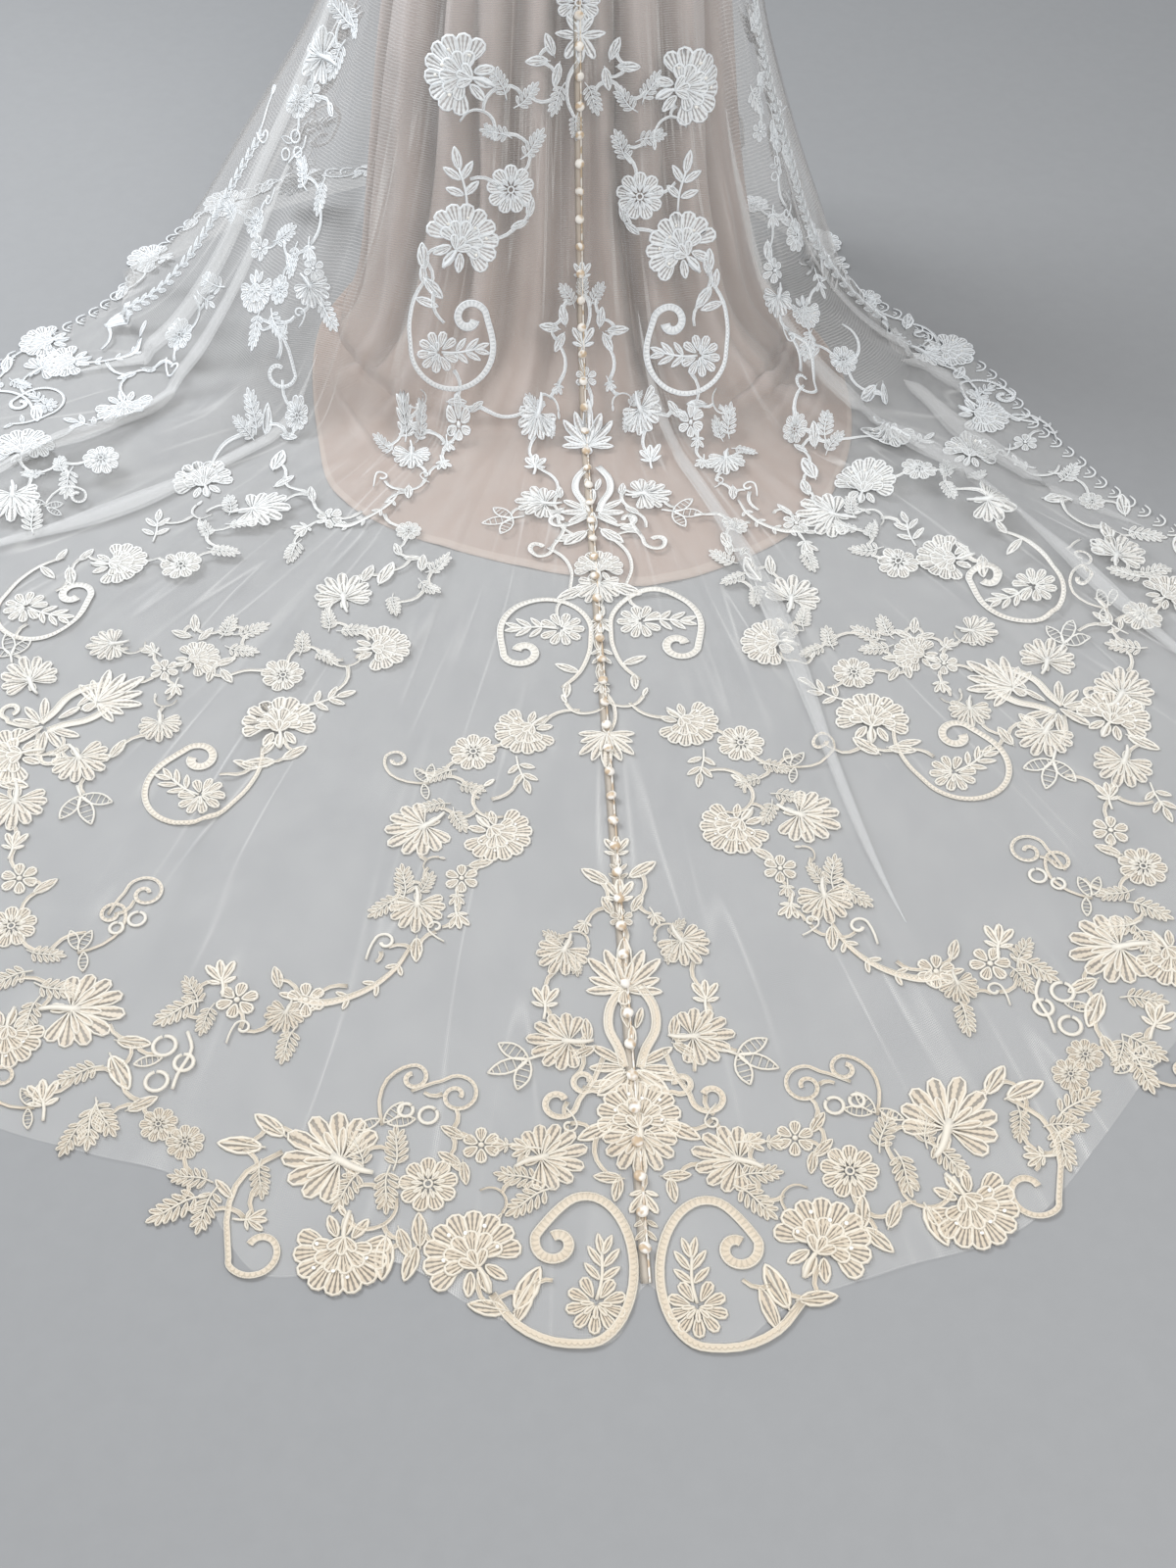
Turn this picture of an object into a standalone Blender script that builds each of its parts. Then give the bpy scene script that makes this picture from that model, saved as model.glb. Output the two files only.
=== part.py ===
"""Wedding dress: bodice, slip with a short sweep, tulle overskirt with a long lace-edged train.

Metres, +Z up. X runs across the dress, -Y is the back, where the train lies. Heights are worked out
from the floor, and one empty then lowers everything so that the origin is the midpoint of the
shoulder line, where the wearer holds the dress up.
"""
import math

import bmesh
import bpy
import numpy as np
from mathutils import Vector

# ---------------------------------------------------------------- driving sizes
HOLD_HEIGHT = 1.45        # shoulder line above the floor
WAIST_HEIGHT = 1.08
TULLE_WALL = 0.0012
SLIP_WALL = 0.0015
BODICE_WALL = 0.002
LACE_WALL = 0.0015
SEAM = 0.0003             # gap between pieces that are sewn together
WAIST_JOIN = 0.0014       # bodice above the skirts: both flare, which tips their edges together
LIE = 0.0005              # gap under a piece that lies on curved cloth
SLIP_CLEARANCE = 0.005    # tulle above the slip where both lie on the floor
COVER_REACH = 0.040       # the tulle is back on the floor this far past the slip's hem
COVER_FADE = 0.035
RIDGE_START = 0.90        # where the ridges on the floor begin, and how long they take to rise
RIDGE_RISE = 0.15
FOLD_FADE = 0.60          # length over which a fold dies away before its end
HANG_FADE = 3.0           # the hanging folds have gone this many times sooner than the hem
LEAST_RUN = 0.02          # least length of tulle on the floor
SETTLE = 0.07             # the bend onto the floor starts and ends this far either side of t = 1

# Sections of the tulle, a row for each height: radii at eight directions, from centre back round by
# the wearer's-back right side.
# name, height, back, back_right, right, front_right, front, front_left, left, back_left
TULLE_SECTIONS = (
    ("waist", 1.08, 0.095, 0.107, 0.125, 0.107, 0.095, 0.107, 0.125, 0.107),
    ("hip", 0.90, 0.137, 0.163, 0.186, 0.155, 0.132, 0.155, 0.188, 0.165),
    ("thigh", 0.70, 0.166, 0.203, 0.228, 0.198, 0.170, 0.215, 0.255, 0.222),
    ("knee", 0.48, 0.195, 0.236, 0.252, 0.255, 0.225, 0.285, 0.328, 0.276),
    ("calf", 0.27, 0.228, 0.290, 0.318, 0.315, 0.290, 0.370, 0.462, 0.350),
    ("ankle", 0.12, 0.276, 0.362, 0.380, 0.350, 0.340, 0.440, 0.568, 0.432),
)
# name, height, and the same eight radii, for the slip's inner face
SLIP_SECTIONS = (
    ("waist", 1.08, 0.0926, 0.1046, 0.1226, 0.1046, 0.0926, 0.1046, 0.1226, 0.1046),
    ("hip", 0.90, 0.122, 0.148, 0.170, 0.140, 0.115, 0.140, 0.170, 0.148),
    ("thigh", 0.70, 0.150, 0.182, 0.203, 0.166, 0.136, 0.170, 0.212, 0.186),
    ("knee", 0.48, 0.178, 0.205, 0.215, 0.185, 0.150, 0.198, 0.262, 0.216),
    ("calf", 0.20, 0.206, 0.236, 0.256, 0.218, 0.180, 0.245, 0.312, 0.256),
    ("ankle", 0.06, 0.256, 0.290, 0.284, 0.238, 0.198, 0.276, 0.338, 0.310),
)
# Where each skirt meets the floor: azimuth from centre back, radius
TULLE_CONTACT = (
    (-180, 0.385), (-130, 0.52), (-102, 0.655), (-88, 0.68), (-70, 0.63), (-45, 0.49), (-20, 0.385),
    (0, 0.36), (20, 0.395), (45, 0.485), (62, 0.52), (75, 0.49), (88, 0.43), (110, 0.40), (140, 0.385),
)
SLIP_CONTACT = (
    (-180, 0.208), (-130, 0.285), (-90, 0.36), (-45, 0.365), (0, 0.325), (45, 0.345), (90, 0.31),
    (135, 0.255),
)
# Hem outlines: azimuth, radius. The train's hem is scalloped near centre back, with a notch at the buttons.
TULLE_HEM = (
    (-180, 0.42), (-150, 0.47), (-130, 0.62), (-116, 0.68), (-102, 0.71), (-89, 0.77), (-81, 0.90),
    (-66, 1.13), (-55, 1.31), (-44, 1.445), (-31, 1.57), (-24, 1.595), (-20, 1.59), (-16, 1.595),
    (-12.5, 1.67), (-8.5, 1.64), (-5.5, 1.68), (-2, 1.715), (-1, 1.705), (0, 1.655), (1, 1.705),
    (2.5, 1.72), (4, 1.695), (8, 1.67), (13, 1.655), (17, 1.595), (20, 1.55), (31, 1.46), (43, 1.31),
    (49, 1.18), (53, 1.00), (55, 0.90), (57.5, 0.84), (60.5, 0.77), (66.5, 0.70), (71, 0.645),
    (75.5, 0.57), (80.5, 0.53), (88, 0.46), (110, 0.435), (135, 0.42),
)
SLIP_HEM = (
    (-180, 0.22), (-130, 0.305), (-90, 0.385), (-48, 0.52), (-38, 0.585), (-26, 0.615), (-15, 0.63),
    (-2, 0.66), (6, 0.685), (18, 0.665), (31, 0.625), (39, 0.58), (60, 0.46), (85, 0.34), (120, 0.275),
)
# Folds, a row for each: azimuth and half-width in degrees, height on the hanging cloth, height of the
# ridge on the floor, and where the fold starts and ends along the skirt (1 is the floor line, 2 the hem).
# name, azimuth, width, hang, ridge, start, end
TULLE_FOLDS = (
    ("left_roll", -92, 14, 0.028, 0.030, 0.15, 1.70),
    ("left_valley", -74, 8, -0.024, 0.000, 0.15, 1.10),
    ("left_double", -60, 7, 0.022, 0.028, 0.45, 1.92),
    ("left_small", -40, 5, 0.010, 0.012, 0.55, 1.75),
    ("left_fine", -21, 4, 0.005, 0.008, 0.70, 1.60),
    ("right_fine", 15, 4, 0.005, 0.011, 0.70, 1.60),
    ("right_valley", 31, 8, -0.014, 0.000, 0.15, 1.05),
    ("right_double", 43, 7, 0.022, 0.026, 0.40, 1.90),
    ("right_roll", 63, 10, 0.024, 0.024, 0.20, 1.75),
    ("right_far", 88, 9, 0.014, 0.008, 0.20, 1.60),
    ("front_right", 122, 13, 0.020, 0.000, 0.20, 1.10),
    ("front_mid_right", 155, 12, 0.018, 0.000, 0.25, 1.10),
    ("front_mid_left", -156, 12, 0.018, 0.000, 0.25, 1.10),
    ("front_left", -124, 13, 0.022, 0.000, 0.20, 1.10),
)
SLIP_FOLDS = (
    ("back_left", -30, 12, 0.010, 0.004, 0.30, 1.60),
    ("back_mid", -8, 9, -0.007, 0.000, 0.20, 1.00),
    ("back_right", 26, 10, -0.012, 0.000, 0.15, 1.05),
    ("puddle_right", 50, 9, 0.006, 0.006, 0.70, 1.80),
    ("puddle_side", 72, 8, 0.006, 0.004, 0.75, 1.70),
    ("left_side", -75, 12, 0.008, 0.004, 0.40, 1.60),
)
HANG, RIDGE = 3, 4        # columns of the fold tables
DIRECTION_STEP = 45       # degrees between the eight section radii

# Gores of the tulle, with their seams between folds: node, first and last azimuth, columns
GORES = (
    ("train_left", -50, 0, 22),
    ("train_right", 0, 51.5, 22),
    ("overskirt_side_left", -108.5, -50, 17),
    ("overskirt_side_right", 51.5, 103, 16),
    ("overskirt_front", 103, 251.5, 17),
)
TULLE_ROWS = (0, 0.18, 0.36, 0.52, 0.66, 0.78, 0.87, 0.94, 0.98, 1.02, 1.07, 1.17, 1.28, 1.45, 1.63,
              1.8, 1.93, 2.0)
CENTRE_CROWDING = 1.25    # above 1, a train gore's columns crowd towards centre back
BORDER_ROWS = 2           # last rows of a gore that its lace border covers
SLIP_ROWS = (0, 0.18, 0.36, 0.52, 0.66, 0.78, 0.87, 0.94, 0.98, 1.03, 1.08, 1.3, 1.6, 2.0)
SLIP_PANELS = (("slip_back", -90, 90, 24), ("slip_front", 90, 270, 16))

# Bodice sections: u, height, half width, back depth, front depth
BODICE_SECTIONS = (
    (0.00, WAIST_HEIGHT + WAIST_JOIN, 0.1245, 0.0945, 0.0945),
    (0.35, 1.18, 0.138, 0.102, 0.108),
    (0.70, 1.27, 0.155, 0.108, 0.125),
    (1.00, 1.34, 0.162, 0.105, 0.112),
)
SHOULDER_RISE = HOLD_HEIGHT - BODICE_WALL - 1.34
CUP_ANGLE, CUP_SPREAD, CUP_HEIGHT, CUP_RISE, CUP_DEPTH = 32, 17, 0.72, 0.26, 0.022
SHOULDER_END = 1.9985     # u where the straps end, half a seam short of the shoulder line
# Top edge of the bodice, angle from centre back round one side to centre front: angle, u at the edge
BODICE_TOP = (
    (0, 0.86), (22, 0.90), (34, 1.00), (40, SHOULDER_END), (56, SHOULDER_END), (62, 0.95), (72, 0.68),
    (90, 0.60), (108, 0.68), (118, 0.95), (124, SHOULDER_END), (140, SHOULDER_END), (146, 1.00),
    (162, 0.94), (180, 0.84),
)
BODICE_BACK_ANGLES = (0, 10, 20, 28, 34, 37, 40, 45, 51, 56, 59, 62, 67, 72, 81, 90)
BODICE_ROWS = 7

BUTTON_RADIUS = 0.0065
BUTTON_RISE = 0.005
BUTTON_SIDES = 6
BUTTON_CROWN = 0.62       # top radius of a button as a share of its foot
BUTTON_SINK = 0.0002
BUTTON_PITCH = 0.038
BUTTON_END_ROOM = 0.0013  # a button is left to the next stretch of tape this close to a stretch's end
TAPE_WIDTH = 0.008
TAPE_WALL = 0.001
TAPE_LIE = 0.0008

# Lace pieces lying on the flat of the train, mirrored about centre back: kind, x, y, radius, petals
TRAIN_LACE = (
    ("scroll", 0.069, -0.793, 0.052, 0),
    ("flower", 0.099, -0.923, 0.038, 8),
    ("peony", 0.136, -1.095, 0.046, 10),
    ("flower", 0.233, -1.211, 0.038, 8),
    ("flower", 0.075, -1.273, 0.030, 6),
    ("flower", 0.083, -1.383, 0.036, 8),
    ("rosette", 0.419, -1.298, 0.036, 8),
)
SCROLL_RIBBON = 0.010
PETAL_POINTS = 4
PETAL_NOTCH = 0.16        # depth of the notches between petals, as a share of the flower's radius
SCROLL_POINTS = 20

# slot: colour, roughness
CLOTHS = {
    "tulle": ((0.80, 0.79, 0.77), 0.70),
    "slip": ((0.49, 0.42, 0.37), 0.45),
    "bodice": ((0.80, 0.76, 0.70), 0.55),
    "lace": ((0.84, 0.80, 0.71), 0.75),
    "buttons": ((0.82, 0.77, 0.69), 0.35),
}


# ---------------------------------------------------------------- curves through tables
def smooth_curve(xs, ys, x, period=None):
    """Value at x of a smooth curve through (xs, ys), round a full turn where period is given."""
    xs = np.asarray(xs, float)
    ys = np.asarray(ys, float)
    if period:
        x = (x - xs[0]) % period + xs[0]
        xs = np.concatenate(([xs[-1] - period], xs, [xs[0] + period, xs[1] + period]))
        ys = np.concatenate(([ys[-1]], ys, [ys[0], ys[1]]))
    slopes = np.gradient(ys, xs)
    steps = np.diff(ys) / np.diff(xs)
    flat = np.zeros(len(xs), bool)
    flat[1:-1] = steps[:-1] * steps[1:] <= 0
    slopes[flat] = 0.0
    i = int(np.clip(np.searchsorted(xs, x, side="right") - 1, 0, len(xs) - 2))
    width = xs[i + 1] - xs[i]
    s = (x - xs[i]) / width
    rise = (1 + 2 * s) * (1 - s) ** 2 * ys[i] + s * s * (3 - 2 * s) * ys[i + 1]
    turn = s * (1 - s) ** 2 * width * slopes[i] - s * s * (1 - s) * width * slopes[i + 1]
    return rise + turn


def ease(x):
    """Smooth step from 0 to 1 for x from 0 to 1."""
    x = min(max(x, 0.0), 1.0)
    return x * x * (3 - 2 * x)


def angle_between(a, b):
    """Difference of two azimuths, from -180 to 180 degrees."""
    return (a - b + 180.0) % 360.0 - 180.0


def table_radius(table, azimuth):
    """Radius at an azimuth, from a table of azimuth and radius."""
    return smooth_curve([row[0] for row in table], [row[1] for row in table], azimuth, 360.0)


def section_radius(row, azimuth):
    """Radius at an azimuth, from a section's eight radii."""
    directions = [DIRECTION_STEP * i for i in range(8)]
    return smooth_curve(directions, row[2:], azimuth, 360.0)


def fold_sum(folds, azimuth, t, column):
    """Sum of the folds' heights at a place, on the hanging cloth (HANG) or on the floor (RIDGE)."""
    total = 0.0
    for fold in folds:
        away = abs(angle_between(azimuth, fold[1])) / fold[2]
        if away >= 1.0 or not fold[5] < t < fold[6]:
            continue
        span = 1.0 - fold[5] if column == HANG else RIDGE_RISE
        grow = ease((t - fold[5]) / span)
        fade = ease((fold[6] - t) / FOLD_FADE)
        total += fold[column] * (0.5 + 0.5 * math.cos(math.pi * away)) * grow * fade
    return total


def floor_ridge(folds, azimuth, t):
    """Height of the ridges that the folds make where the skirt lies on the floor."""
    return fold_sum(folds, azimuth, t, RIDGE) * ease((t - RIDGE_START) / RIDGE_RISE)


# ---------------------------------------------------------------- cloth surfaces
def skirt_profile(sections, contact, azimuth, t):
    """Radius down the hanging part, t from 0 at the waist to 1 at the floor."""
    heights = [row[1] for row in sections] + [0.0]
    radii = [section_radius(row, azimuth) for row in sections] + [contact]
    places = [1.0 - h / heights[0] for h in heights]
    return smooth_curve(places, radii, t)


def settled_height(t):
    """Height on a skirt's profile, with a soft bend where the cloth comes down onto the floor."""
    if t >= 1.0 + SETTLE:
        return 0.0
    if t <= 1.0 - SETTLE:
        return WAIST_HEIGHT * (1.0 - t)
    return WAIST_HEIGHT * (1.0 + SETTLE - t) ** 2 / (4.0 * SETTLE)


def slip_point(azimuth, t):
    """Inner face of the slip: t is 0 at the waist, 1 where it meets the floor and 2 at the hem."""
    contact = table_radius(SLIP_CONTACT, azimuth)
    if t <= 1.0:
        radius = skirt_profile(SLIP_SECTIONS, contact, azimuth, t)
        radius += fold_sum(SLIP_FOLDS, azimuth, t, HANG)
    else:
        radius = contact + (table_radius(SLIP_HEM, azimuth) - contact) * (t - 1.0)
        radius += fold_sum(SLIP_FOLDS, azimuth, 1.0, HANG) * (2.0 - t)
    height = settled_height(t) + floor_ridge(SLIP_FOLDS, azimuth, t)
    angle = math.radians(azimuth)
    return Vector((radius * math.sin(angle), -radius * math.cos(angle), height))


def slip_cover(azimuth, radius):
    """Height that the tulle keeps so as to lie over the slip, at a place on the floor."""
    hem = table_radius(SLIP_HEM, azimuth)
    contact = table_radius(SLIP_CONTACT, azimuth)
    t = 1.0 + max(radius - contact, 0.0) / (hem - contact)
    ridge = fold_sum(SLIP_FOLDS, azimuth, min(t, 2.0), RIDGE)
    return (SLIP_WALL + SLIP_CLEARANCE + ridge) * ease((hem + COVER_REACH - radius) / COVER_FADE)


def tulle_point(azimuth, t):
    """Inner face of the tulle: t is 0 at the waist, 1 where it meets the floor and 2 at the hem."""
    hem = table_radius(TULLE_HEM, azimuth)
    contact = min(table_radius(TULLE_CONTACT, azimuth), hem - LEAST_RUN)
    if t <= 1.0:
        radius = skirt_profile(TULLE_SECTIONS, contact, azimuth, t)
        radius += fold_sum(TULLE_FOLDS, azimuth, t, HANG)
    else:
        radius = contact + (hem - contact) * (t - 1.0)
        radius += fold_sum(TULLE_FOLDS, azimuth, 1.0, HANG) * max(1.0 - (t - 1.0) * HANG_FADE, 0.0)
    height = settled_height(t) + floor_ridge(TULLE_FOLDS, azimuth, t)
    height = max(height, slip_cover(azimuth, radius))
    angle = math.radians(azimuth)
    return Vector((radius * math.sin(angle), -radius * math.cos(angle), height))


def bodice_point(angle, u):
    """Inner face of the bodice: angle from centre back, u up from the waist, 1 to 2 over the shoulder."""
    low = min(u, 1.0)
    us = [row[0] for row in BODICE_SECTIONS]
    height, width, back, front = (
        smooth_curve(us, [row[i] for row in BODICE_SECTIONS], low) for i in (1, 2, 3, 4))
    depth = back if abs(angle_between(angle, 0)) <= 90 else front
    over = math.radians(90.0 * max(u - 1.0, 0.0))
    height += SHOULDER_RISE * math.sin(over)
    depth *= math.cos(over)
    for side in (-1, 1):
        away = angle_between(angle, 180 + side * CUP_ANGLE) / CUP_SPREAD
        rise = (u - CUP_HEIGHT) / CUP_RISE
        depth += CUP_DEPTH * math.exp(-away * away - rise * rise)
    turn = math.radians(angle)
    return Vector((width * math.sin(turn), -depth * math.cos(turn), height))


def outward(line, i):
    """Unit normal, away from the body or the floor, at point i of a line that runs down centre back."""
    down = line[min(i + 1, len(line) - 1)] - line[max(i - 1, 0)]
    return down.cross(Vector((1, 0, 0))).normalized()


# ---------------------------------------------------------------- objects
def finish_object(name, mesh_data, slot, collection, wall):
    """Make a named object with its own material, thickened outward to a wall."""
    obj = bpy.data.objects.new(name, mesh_data)
    collection.objects.link(obj)
    colour, roughness = CLOTHS[slot]
    material = bpy.data.materials.new(name + "_" + slot)
    material.use_nodes = True
    shader = material.node_tree.nodes["Principled BSDF"]
    shader.inputs["Base Color"].default_value = (*colour, 1.0)
    shader.inputs["Roughness"].default_value = roughness
    mesh_data.materials.append(material)
    mesh_data.shade_smooth()
    solidify = obj.modifiers.new("wall", "SOLIDIFY")
    solidify.thickness = wall
    solidify.offset = 1.0
    return obj


def cloth_sheet(name, place, columns, rows, wall, slot, collection):
    """A cloth panel: a grid whose points are put in place, then thickened outward.

    place(column, row) gives the point; row 0 is the top edge.
    """
    bm = bmesh.new()
    bmesh.ops.create_grid(bm, x_segments=columns, y_segments=rows, size=1.0)
    for vert in bm.verts:
        column = round((vert.co.x + 1.0) / 2.0 * columns)
        row = round((1.0 - vert.co.y) / 2.0 * rows)
        vert.co = place(column, row)
    mesh_data = bpy.data.meshes.new(name)
    bm.to_mesh(mesh_data)
    bm.free()
    return finish_object(name, mesh_data, slot, collection, wall)


def seam_angle(azimuths, column, radius, centre_gap=SEAM / 2.0):
    """Azimuth of a column, with the panel's two side edges half a seam inside their lines.

    centre_gap is the distance kept from centre back.
    """
    azimuth = azimuths[column]
    gap = centre_gap if azimuth == 0 else SEAM / 2.0
    inset = math.degrees(gap / radius)
    if column == 0:
        return azimuth + inset
    if column == len(azimuths) - 1:
        return azimuth - inset
    return azimuth


def panel_columns(first, last, count):
    """Azimuths of a panel's columns, close together near centre back where the train's hem is scalloped."""
    steps = np.linspace(0.0, 1.0, count + 1)
    if last == 0:
        return list(first * (1.0 - steps) ** CENTRE_CROWDING)
    if first == 0:
        return list(last * steps ** CENTRE_CROWDING)
    return list(first + (last - first) * steps)


def skirt_panel(name, surface, azimuths, rows, wall, slot, collection):
    """One panel of a skirt, on its surface."""
    def place(column, row):
        point = surface(azimuths[column], rows[row])
        radius = math.hypot(point.x, point.y)
        return surface(seam_angle(azimuths, column, radius), rows[row])
    return cloth_sheet(name, place, len(azimuths) - 1, len(rows) - 1, wall, slot, collection)


def lace_border(name, azimuths, collection):
    """The scalloped lace along a gore's hem, made from the gore's own points moved out."""
    rows = TULLE_ROWS[-BORDER_ROWS:]

    def place(column, row):
        point = tulle_point(azimuths[column], rows[row])
        radius = math.hypot(point.x, point.y)
        azimuth = seam_angle(azimuths, column, radius, BUTTON_RADIUS + LIE)
        return tulle_point(azimuth, rows[row]) + Vector((0, 0, TULLE_WALL + LIE))
    return cloth_sheet(name, place, len(azimuths) - 1, BORDER_ROWS - 1, LACE_WALL, "lace", collection)


def bodice_top(angle):
    """u at the bodice's top edge."""
    side = abs(angle_between(angle, 0))
    return float(np.interp(side, [row[0] for row in BODICE_TOP], [row[1] for row in BODICE_TOP]))


def bodice_panel(name, angles, collection):
    """One panel of the bodice, with its shoulder strap."""
    def place(column, row):
        point = bodice_point(angles[column], 0.5)
        angle = seam_angle(angles, column, math.hypot(point.x, point.y))
        top = bodice_top(angles[column])
        return bodice_point(angle, top * (1.0 - row / BODICE_ROWS))
    return cloth_sheet(name, place, len(angles) - 1, BODICE_ROWS, BODICE_WALL, "bodice", collection)


# ---------------------------------------------------------------- buttons
def button_shape(bm, centre, normal):
    """Add one domed button, its foot sunk in the tape."""
    turn = normal.to_track_quat("Z", "Y").to_matrix().to_4x4()
    made = bmesh.ops.create_cone(
        bm, cap_ends=True, segments=BUTTON_SIDES, radius1=BUTTON_RADIUS,
        radius2=BUTTON_RADIUS * BUTTON_CROWN, depth=BUTTON_RISE)
    for vert in made["verts"]:
        vert.co = turn @ (vert.co + Vector((0, 0, BUTTON_RISE / 2.0 - BUTTON_SINK))) + centre


def button_band(name, surface, rows, lift, collection, cutters):
    """The tape down centre back with its buttons, one solid."""
    centres = [surface(0.0, row) for row in rows]
    normals = [outward(centres, row) for row in range(len(rows))]
    along = [(centre + normal * lift, normal) for centre, normal in zip(centres, normals)]

    def place(column, row):
        aside = TAPE_WIDTH * (column / 2.0 - 0.5)
        azimuth = math.degrees(aside / centres[row].xy.length)
        return surface(azimuth, rows[row]) + normals[row] * lift
    tape = cloth_sheet(name, place, 2, len(rows) - 1, TAPE_WALL, "buttons", collection)
    bm = bmesh.new()
    to_next = BUTTON_PITCH / 2.0
    for (low, low_normal), (high, high_normal) in zip(along, along[1:]):
        length = (high - low).length
        while to_next < length - BUTTON_END_ROOM:
            share = to_next / length
            normal = low_normal.lerp(high_normal, share).normalized()
            button_shape(bm, low.lerp(high, share) + normal * TAPE_WALL, normal)
            to_next += BUTTON_PITCH
        to_next -= length
    buttons = bpy.data.meshes.new(name + "_buttons")
    bm.to_mesh(buttons)
    bm.free()
    cutter = bpy.data.objects.new(name + "_buttons", buttons)
    cutters.objects.link(cutter)
    cutter.hide_render = True
    cutter.display_type = "WIRE"
    cutter.parent = tape
    union = tape.modifiers.new("buttons", "BOOLEAN")
    union.operation = "UNION"
    union.solver = "EXACT"
    union.object = cutter
    return tape


# ---------------------------------------------------------------- lace on the train
def lace_motif(name, kind, x, y, radius, petals, collection):
    """A flower with scalloped petals, or an open scroll ring, flat on the train."""
    bm = bmesh.new()
    if kind == "scroll":
        outer = bmesh.ops.create_circle(bm, segments=SCROLL_POINTS, radius=radius)["verts"]
        inner = bmesh.ops.create_circle(bm, segments=SCROLL_POINTS, radius=radius - SCROLL_RIBBON)["verts"]
        edges = {edge for vert in outer + inner for edge in vert.link_edges}
        bmesh.ops.bridge_loops(bm, edges=list(edges))
    else:
        bmesh.ops.create_circle(bm, cap_ends=True, segments=petals * PETAL_POINTS, radius=radius)
        for vert in bm.verts:
            turn = math.atan2(vert.co.y, vert.co.x)
            vert.co *= 1.0 - PETAL_NOTCH * (1.0 - abs(math.cos(petals * turn / 2.0)))
    bmesh.ops.translate(bm, verts=bm.verts, vec=(x, y, TULLE_WALL + SEAM))
    bmesh.ops.recalc_face_normals(bm, faces=bm.faces)
    if sum(face.normal.z for face in bm.faces) < 0:
        bmesh.ops.reverse_faces(bm, faces=bm.faces)
    mesh_data = bpy.data.meshes.new(name)
    bm.to_mesh(mesh_data)
    bm.free()
    return finish_object(name, mesh_data, "lace", collection, LACE_WALL)


# ---------------------------------------------------------------- the dress
def clear_scene():
    """Remove the scene's objects."""
    for obj in list(bpy.data.objects):
        bpy.data.objects.remove(obj, do_unlink=True)


def make_collection(name):
    """A new collection in the scene."""
    collection = bpy.data.collections.new(name)
    bpy.context.scene.collection.children.link(collection)
    return collection


def build_skirts(dress):
    """Slip, tulle gores and their lace borders."""
    for name, first, last, count in SLIP_PANELS:
        azimuths = list(np.linspace(first, last, count + 1))
        skirt_panel(name, slip_point, azimuths, SLIP_ROWS, SLIP_WALL, "slip", dress)
    for name, first, last, count in GORES:
        azimuths = panel_columns(first, last, count)
        skirt_panel(name, tulle_point, azimuths, TULLE_ROWS, TULLE_WALL, "tulle", dress)
        lace_border("lace_border_" + name, azimuths, dress)


def build_bodice(dress):
    """Front and the two backs."""
    back = list(BODICE_BACK_ANGLES)
    front = [180.0 - angle for angle in reversed(back)]
    bodice_panel("bodice_back_right", back, dress)
    bodice_panel("bodice_back_left", [-angle for angle in reversed(back)], dress)
    bodice_panel("bodice_front", front + [360.0 - angle for angle in reversed(front[:-1])], dress)


def build_buttons(dress, cutters):
    """The button bands of the skirt and of the bodice."""
    button_band("button_band_train", tulle_point, TULLE_ROWS, TULLE_WALL + TAPE_LIE, dress, cutters)
    rows = [step / BODICE_ROWS for step in range(BODICE_ROWS + 1)]
    button_band("button_band_bodice", back_opening_point, rows, BODICE_WALL + TAPE_LIE, dress, cutters)


def back_opening_point(angle, t):
    """The bodice near centre back, t from 0 at its top edge to 1 at the waist."""
    return bodice_point(angle, bodice_top(0.0) * (1.0 - t))


def build_train_lace(dress):
    """Lace flowers and scrolls on the flat of the train, on both sides."""
    for index, (kind, x, y, radius, petals) in enumerate(TRAIN_LACE, start=1):
        for side, sign in (("left", -1), ("right", 1)):
            name = "lace_%s_%d_%s" % (kind, index, side)
            lace_motif(name, kind, sign * x, y, radius, petals, dress)


def main():
    """Build the dress and lower it so that the shoulder line's midpoint is the origin."""
    clear_scene()
    dress = make_collection("wedding_dress")
    cutters = make_collection("cutters")
    build_skirts(dress)
    build_bodice(dress)
    build_buttons(dress, cutters)
    build_train_lace(dress)
    hold = bpy.data.objects.new("hold", None)
    dress.objects.link(hold)
    hold.location = (0, 0, -HOLD_HEIGHT)
    for obj in dress.objects:
        if obj is not hold:
            obj.parent = hold


main()
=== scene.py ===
"""Wedding dress: net overskirt with corded lace, satin slip, plain bodice and a row of covered buttons.

Metres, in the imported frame: the origin is the middle of the shoulder line, the floor is HOLD_HEIGHT below
it, -Y is the back, where the train lies, and +X is to the right when seen from behind.
"""
from __future__ import annotations

import logging
import math
from dataclasses import dataclass, field
from enum import Enum
from typing import ClassVar, Iterable

import bmesh
import bpy
import numpy as np
from mathutils import Matrix, Vector
from mathutils.bvhtree import BVHTree

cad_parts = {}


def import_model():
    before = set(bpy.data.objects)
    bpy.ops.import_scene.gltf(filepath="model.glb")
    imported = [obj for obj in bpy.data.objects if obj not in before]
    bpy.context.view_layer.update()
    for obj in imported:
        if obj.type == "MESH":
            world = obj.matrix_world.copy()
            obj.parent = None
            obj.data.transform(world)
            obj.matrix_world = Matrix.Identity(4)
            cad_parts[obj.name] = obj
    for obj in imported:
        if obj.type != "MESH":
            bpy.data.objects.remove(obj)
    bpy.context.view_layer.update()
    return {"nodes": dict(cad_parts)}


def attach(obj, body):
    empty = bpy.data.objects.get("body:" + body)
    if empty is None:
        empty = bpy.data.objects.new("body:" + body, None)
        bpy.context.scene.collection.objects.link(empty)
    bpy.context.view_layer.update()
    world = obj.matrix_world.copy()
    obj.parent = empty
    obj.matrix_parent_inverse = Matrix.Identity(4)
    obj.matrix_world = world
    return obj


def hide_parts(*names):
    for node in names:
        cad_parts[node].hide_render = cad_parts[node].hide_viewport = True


LOG = logging.getLogger("wedding_dress")

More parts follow.
